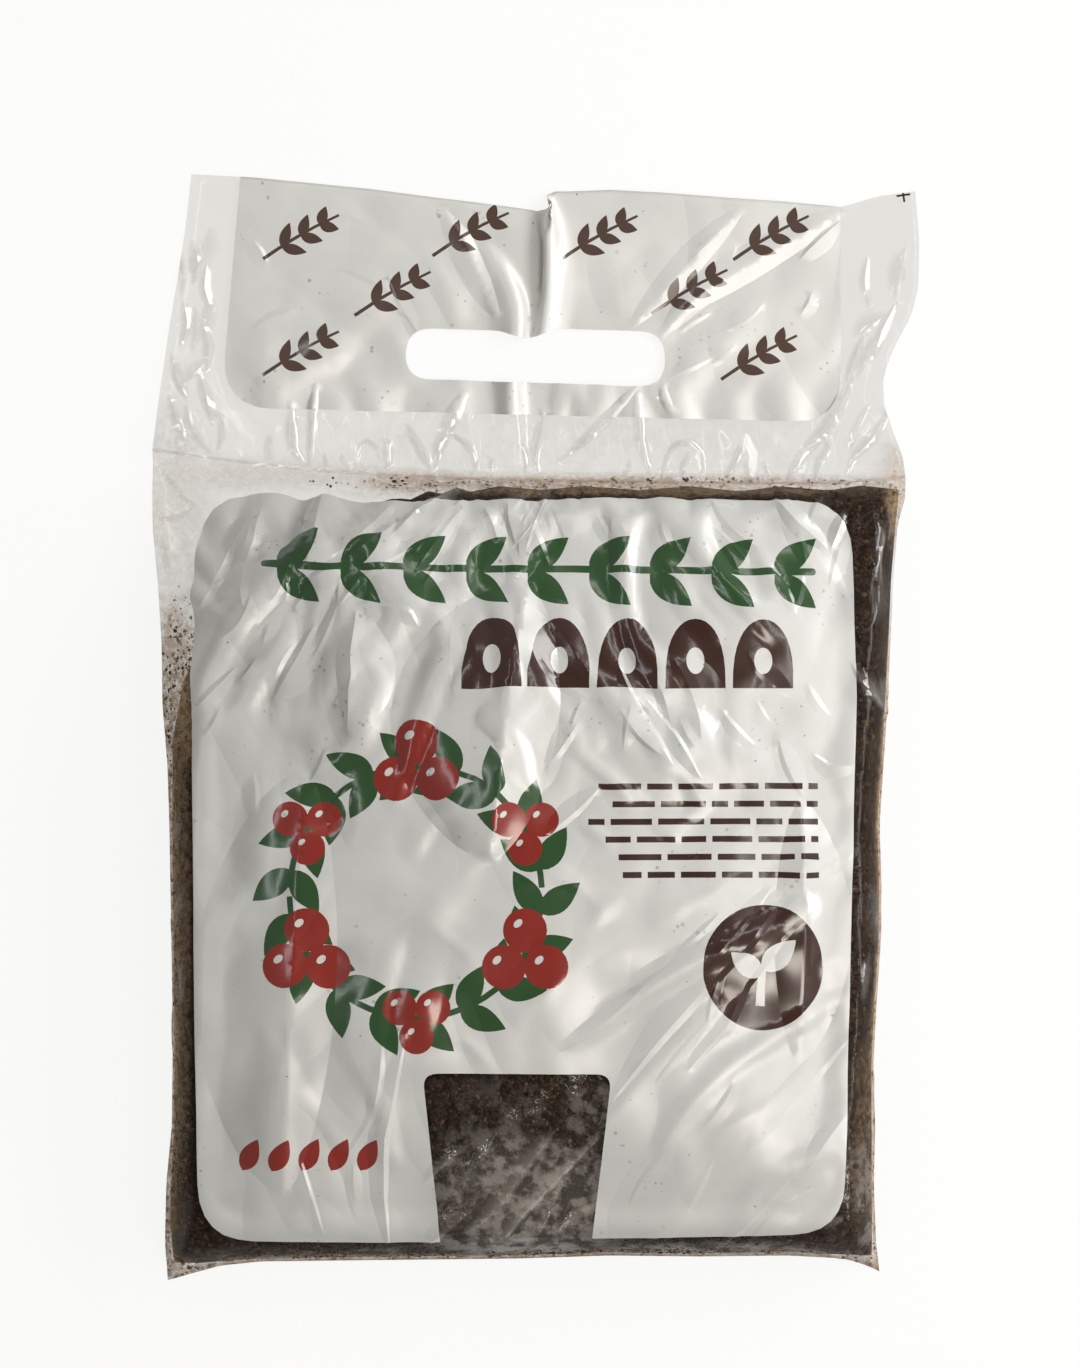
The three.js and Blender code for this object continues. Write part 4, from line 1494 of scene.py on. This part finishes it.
@dataclass(frozen=True)
class Crumbs:
    """Angular crumbs that Geometry Nodes scatter over a surface."""

    name: str
    density: float  # crumbs on a square millimetre
    smallest: float  # radius, in millimetres
    largest: float
    seed: int

    def tree(self) -> bpy.types.NodeTree:
        """The scatter, with its sizes as inputs."""
        tree = bpy.data.node_groups.new(self.name, "GeometryNodeTree")
        face = tree.interface
        face.new_socket("Geometry", in_out="INPUT", socket_type="NodeSocketGeometry")
        for label in ("Density", "Smallest", "Largest"):
            face.new_socket(label, in_out="INPUT", socket_type="NodeSocketFloat")
        face.new_socket("Seed", in_out="INPUT", socket_type="NodeSocketInt")
        face.new_socket("Material", in_out="INPUT", socket_type="NodeSocketMaterial")
        face.new_socket("Geometry", in_out="OUTPUT", socket_type="NodeSocketGeometry")

        def add(kind: str, settings: dict, links: dict) -> bpy.types.Node:
            node = tree.nodes.new(kind)
            for key, value in settings.items():
                setattr(node, key, value)
            for key, value in links.items():
                if isinstance(value, bpy.types.NodeSocket):
                    tree.links.new(value, node.inputs[key])
                else:
                    node.inputs[key].default_value = value
            return node

        given = add("NodeGroupInput", {}, {}).outputs
        spread = add("GeometryNodeDistributePointsOnFaces", {},
                     {"Mesh": given["Geometry"], "Density": given["Density"], "Seed": given["Seed"]})
        size = add("FunctionNodeRandomValue", {"data_type": "FLOAT"},
                   {2: given["Smallest"], 3: given["Largest"], "ID": add("GeometryNodeInputIndex", {}, {}).outputs[0],
                    "Seed": given["Seed"]})
        form = add("FunctionNodeRandomValue", {"data_type": "FLOAT_VECTOR"},
                   {0: (0.6, 0.6, 0.45), 1: (1.3, 1.1, 0.9), "Seed": 3})
        scale = add("ShaderNodeVectorMath", {"operation": "SCALE"},
                    {0: form.outputs[0], "Scale": size.outputs[1]})
        turn = add("FunctionNodeRandomValue", {"data_type": "FLOAT_VECTOR"},
                   {0: (-0.6, -0.6, 0.0), 1: (0.6, 0.6, 2 * math.pi), "Seed": 4})
        lump = add("GeometryNodeMeshIcoSphere", {}, {"Radius": 1.0, "Subdivisions": 1})
        placed = add("GeometryNodeInstanceOnPoints", {},
                     {"Points": spread.outputs["Points"], "Instance": lump.outputs[0], "Rotation": turn.outputs[0],
                      "Scale": scale.outputs[0]})
        shade = add("FunctionNodeRandomValue", {"data_type": "FLOAT"}, {2: 0.0, 3: 1.0, "Seed": 5})
        marked = add("GeometryNodeStoreNamedAttribute", {"data_type": "FLOAT", "domain": "INSTANCE"},
                     {"Geometry": placed.outputs[0], "Name": "shade", "Value": shade.outputs[1]})
        whole = add("GeometryNodeRealizeInstances", {}, {"Geometry": marked.outputs[0]})
        dressed = add("GeometryNodeSetMaterial", {}, {"Geometry": whole.outputs[0], "Material": given["Material"]})
        add("NodeGroupOutput", {}, {"Geometry": dressed.outputs[0]})
        return tree

    def scatter(self, points: np.ndarray, faces: np.ndarray, material: bpy.types.Material) -> bpy.types.Object:
        """Scatters the crumbs over a surface in millimetres, and keeps only them."""
        mesh = bpy.data.meshes.new(self.name)
        mesh.from_pydata((points * MM).tolist(), [], faces.tolist())
        crumbs = bpy.data.objects.new(self.name, mesh)
        bpy.context.scene.collection.objects.link(crumbs)
        maker = crumbs.modifiers.new("scatter", "NODES")
        maker.node_group = self.tree()
        values = {"Density": self.density / MM**2, "Smallest": self.smallest * MM, "Largest": self.largest * MM,
                  "Seed": self.seed, "Material": material}
        for socket in maker.node_group.interface.items_tree:
            if socket.in_out == "INPUT" and socket.name in values:
                maker[socket.identifier] = values[socket.name]
        return applied(crumbs)


@dataclass
class Compost:
    """The compost as one closed lump with a crumbly skin, finest where the film is clear."""

    heap: CompostHeap
    fine: float = 0.75
    coarse: float = 3.0
    inset: float = 0.15
    crumb_depth: float = 0.95  # of the crumbs' middles below the heap's face
    crumb_margin: float = 0.9  # from the border to the first crumb
    crumbs: Crumbs = Crumbs("compost_crumbs", 0.6, 0.35, 1.15, 8)
    loose: Crumbs = Crumbs("loose_crumbs", 0.2, 0.14, 0.45, 12)
    spill_steps: int = 12
    SPILLS = (  # borders of the strips where loose crumbs lie, in the outline drawing
        ([(172, 580), (174, 640), (172, 700), (172, 760)], [(200, 600), (196, 640), (190, 690), (176, 760)]),
        ([(300, 474), (430, 479), (560, 483), (760, 486), (890, 484)],
         [(300, 484), (430, 491), (560, 490), (760, 491), (890, 490)]),
    )

    def __post_init__(self) -> None:
        self.material = CompostFinish().make()

    def _shares(self, length: float, fine_spans: Points) -> np.ndarray:
        """Shares from 0 to 1, close together inside the fine spans."""
        at, shares = 0.0, [0.0]
        while at < 1:
            close = any(a <= at <= b for a, b in fine_spans)
            at += (self.fine if close else self.coarse) / length
            shares.append(min(at, 1.0))
        return np.array(shares)

    def _crumble(self, x: np.ndarray, y: np.ndarray) -> np.ndarray:
        """How far the skin falls below the heap's face between its crumbs."""
        rng = np.random.default_rng(21)
        fall = np.full(x.shape, 1.6)
        for size in (3.4, 2.0, 1.2):
            table = rng.uniform(0, 1, (64, 64, 3))
            ix, iy = np.floor(x / size).astype(int), np.floor(y / size).astype(int)
            for dx in (-1, 0, 1):
                for dy in (-1, 0, 1):
                    spot = table[(ix + dx) % 64, (iy + dy) % 64]
                    cx, cy = (ix + dx + spot[..., 0]) * size, (iy + dy + spot[..., 1]) * size
                    radius = size * (0.3 + 0.35 * spot[..., 2])
                    reach = np.hypot(x - cx, y - cy) / radius
                    dome = radius * np.sqrt(np.maximum(0, 1 - reach**2))
                    base = 1.6 - 0.2 * spot[..., 2]
                    fall = np.where(reach < 1, np.minimum(fall, np.maximum(0.0, base - dome)), fall)
        return fall

    def build(self, film: FilmBag) -> list[bpy.types.Object]:
        """Makes the lump, the crumbs on it that show, and the loose ones beside it in the film."""
        u = self._shares(214, [(0, 0.08), (0.34, 0.64), (0.92, 1)])
        v = self._shares(235, [(0, 0.25), (0.92, 1)])
        xy = Outline.compost(u, v)
        return [self._lump(u, v, xy), self._shown(xy), self._spilt(film)]

    def _lump(self, u: np.ndarray, v: np.ndarray, xy: np.ndarray) -> bpy.types.Object:
        """The lump itself."""
        x, y = xy[..., 0], xy[..., 1]
        heap = self.heap
        depth = np.maximum(heap.sample(heap.depth_in, x, y), 0)
        fold = heap.fold_height * heap.fullness(y)
        edge = np.minimum(np.minimum.outer(v, u), np.minimum.outer(1 - v, 1 - u))
        keep = np.clip(edge * 60, 0, 1)
        fall = self._crumble(x, y) * keep * heap.sample(heap.tilt, x, y)
        top = np.maximum(heap.sample(heap.heights, x, y) - self.inset - fall, 0.8)
        bottom = np.maximum(0.6, fold * (1 - 2.5 * heap.rise(depth)))
        bottom = np.minimum(bottom, top)
        rows, columns = x.shape
        index = np.arange(rows * columns).reshape(rows, columns)
        under = index + rows * columns
        under[0], under[-1], under[:, 0], under[:, -1] = index[0], index[-1], index[:, 0], index[:, -1]
        faces = np.concatenate([quads(index), quads(under)[:, ::-1]])
        points = np.concatenate([np.stack([x, y, z], -1).reshape(-1, 3) for z in (top, bottom)])
        used, faces = np.unique(faces, return_inverse=True)
        mesh = bpy.data.meshes.new("compost_lump")
        mesh.from_pydata((points[used] * MM).tolist(), [], faces.reshape(-1, 4).tolist())
        mesh.polygons.foreach_set("use_smooth", np.ones(len(mesh.polygons), bool))
        mesh.materials.append(self.material)
        lump = bpy.data.objects.new("compost_lump", mesh)
        bpy.context.scene.collection.objects.link(lump)
        return lump

    def _shown(self, xy: np.ndarray) -> bpy.types.Object:
        """Crumbs on the lump wherever the film over it is clear."""
        x, y = xy[..., 0], xy[..., 1]
        heap = self.heap
        fall = self.crumb_depth * heap.sample(heap.tilt, x, y)
        z = np.maximum(heap.sample(heap.heights, x, y) - fall, 1.0)
        faces = quads(np.arange(x.size).reshape(x.shape))
        middle = xy.reshape(-1, 2)[faces].mean(1)
        panel = plan(FrontPrint.BODY_PANEL)
        deep = heap.sample(heap.depth_in, middle[:, 0], middle[:, 1]) > self.crumb_margin
        clear = deep & ~inside(middle[:, 0], middle[:, 1], panel)
        return self.crumbs.scatter(np.stack([x, y, z], -1).reshape(-1, 3), faces[clear], self.material)

    def _spilt(self, film: FilmBag) -> bpy.types.Object:
        """Loose crumbs between the plies, in the empty corner and along the seal."""
        share = np.linspace(0, 1, self.spill_steps)
        points, faces = [], []
        for left, right in self.SPILLS:
            rows = [resample(plan(side), share) for side in (left, right)]
            index = np.arange(2 * len(share)).reshape(2, -1) + sum(map(len, points))
            faces.append(quads(index))
            points.append(film.inner_floor(np.concatenate(rows)))
        return self.loose.scatter(np.concatenate(points), np.concatenate(faces), self.material)


def quads(index: np.ndarray) -> np.ndarray:
    """The four-sided faces of a grid of point numbers."""
    return np.stack([index[:-1, :-1], index[:-1, 1:], index[1:, 1:], index[1:, :-1]], -1).reshape(-1, 4)


@dataclass(frozen=True)
class Lamp:
    """A square soft light that faces the bag."""

    name: str
    place: tuple[float, float, float]
    size: tuple[float, float]
    power: float
    colour: tuple[float, float, float] = (1.0, 1.0, 1.0)

    def add(self) -> None:
        data = bpy.data.lights.new(self.name, "AREA")
        data.shape = "RECTANGLE"
        data.size, data.size_y = self.size
        data.energy = self.power
        data.color = self.colour
        lamp = bpy.data.objects.new(self.name, data)
        lamp.location = self.place
        lamp.rotation_euler = (-Vector(self.place)).to_track_quat("-Z", "Y").to_euler()
        bpy.context.scene.collection.objects.link(lamp)


class Studio:
    """White ground, soft lights and a camera that looks straight down."""

    LAMPS = (
        Lamp("key", (0.73, 0.21, 0.485), (1.02, 0.255), 7.5, (1.0, 0.995, 0.98)),
        Lamp("right_window", (0.6, 0.1, 1.35), (1.4, 0.03), 1.7, (1.0, 0.97, 0.92)),
        Lamp("left_window", (-0.6, 0.1, 1.35), (1.4, 0.03), 1.5, (0.98, 0.99, 1.0)),
        Lamp("high_window", (0.3, 1.0, 1.3), (1.0, 0.05), 1.3, (1.0, 0.96, 0.88)),
        Lamp("low_window", (0.6, -0.5, 1.3), (0.2, 0.9), 5.4, (1.0, 0.93, 0.82)),
    )
    SKY = (1.0, 0.98, 0.94, 1)
    SKY_ABOVE = 0.12  # strength straight above the bag
    SKY_ROUND = 0.24  # added to it towards the horizon
    FLOOR_GLOW = 0.9
    FLOOR_MATT = 0.1  # share of the floor that takes the bag's shadow
    LENS = 250.0
    SENSOR = 36.0
    VIEW_HEIGHT = 1368 * UNIT * MM
    VIEW_CENTRE = plan([(540, 684)])[0] * MM
    MID_HEIGHT = 0.014

    def build(self) -> None:
        for lamp in self.LAMPS:
            lamp.add()
        self._world()
        self._floor()
        self._camera()
        bpy.context.scene.view_settings.view_transform = "Standard"

    def _world(self) -> None:
        """A soft sky, brighter round the bag than above it."""
        board = Board(bpy.data.worlds.new("sky"))
        up = board.add("ShaderNodeSeparateXYZ", None, {0: board.add("ShaderNodeTexCoord", out="Generated")}, "Z")
        level = self.SKY_ABOVE + self.SKY_ROUND * (1.0 - up * up)
        light = board.add("ShaderNodeBackground", None, {"Color": self.SKY, "Strength": level})
        bpy.context.scene.world = board.finish(light, "ShaderNodeOutputWorld")

    def _floor(self) -> None:
        """A white ground that keeps a faint shadow."""
        mesh = bpy.data.meshes.new("floor")
        mesh.from_pydata([(-3, -3, -0.0005), (3, -3, -0.0005), (3, 3, -0.0005), (-3, 3, -0.0005)], [], [(0, 1, 2, 3)])
        board = Board.material("floor")
        rays = [board.add("ShaderNodeLightPath", out=f"Is {ray} Ray") for ray in ("Camera", "Glossy", "Transmission")]
        glow = board.add("ShaderNodeEmission", None, {"Color": (0.985, 0.985, 0.97, 1), "Strength": self.FLOOR_GLOW})
        faint = board.add("ShaderNodeBsdfDiffuse", None, {"Color": (self.FLOOR_MATT,) * 3 + (1.0,)})
        white = board.add("ShaderNodeAddShader", None, {0: glow, 1: faint})
        matt = board.add("ShaderNodeBsdfDiffuse", None, {"Color": (0.8, 0.8, 0.79, 1)})
        seen = rays[0] + rays[1] + rays[2]
        mesh.materials.append(board.finish(board.add("ShaderNodeMixShader", None, {0: seen, 1: matt, 2: white})))
        floor = bpy.data.objects.new("floor", mesh)
        bpy.context.scene.collection.objects.link(floor)

    def _camera(self) -> None:
        data = bpy.data.cameras.new("camera")
        data.lens, data.sensor_width = self.LENS, self.SENSOR
        camera = bpy.data.objects.new("camera", data)
        far = self.VIEW_HEIGHT * self.LENS / self.SENSOR
        camera.location = (self.VIEW_CENTRE[0], self.VIEW_CENTRE[1], far + self.MID_HEIGHT)
        data.clip_end = 10
        bpy.context.scene.collection.objects.link(camera)
        bpy.context.scene.camera = camera


def main() -> None:
    """Builds the bag and its stage."""
    logging.basicConfig(level=logging.INFO, format="%(name)s: %(message)s")
    heap = CompostHeap()
    solver = FilmSolver(heap)
    solver.run()
    bag = FilmBag(solver, FrontPrint())
    film = bag.build()
    lump, crumbs, loose = Compost(heap).build(bag)
    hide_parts("film_bag")
    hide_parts("compost_fill")
    for piece in (film, lump, crumbs, loose):
        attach(piece, BODY)
        LOG.info("%s: %d faces", piece.name, len(piece.data.polygons))
    Studio().build()


if __name__ == "__main__":
    main()
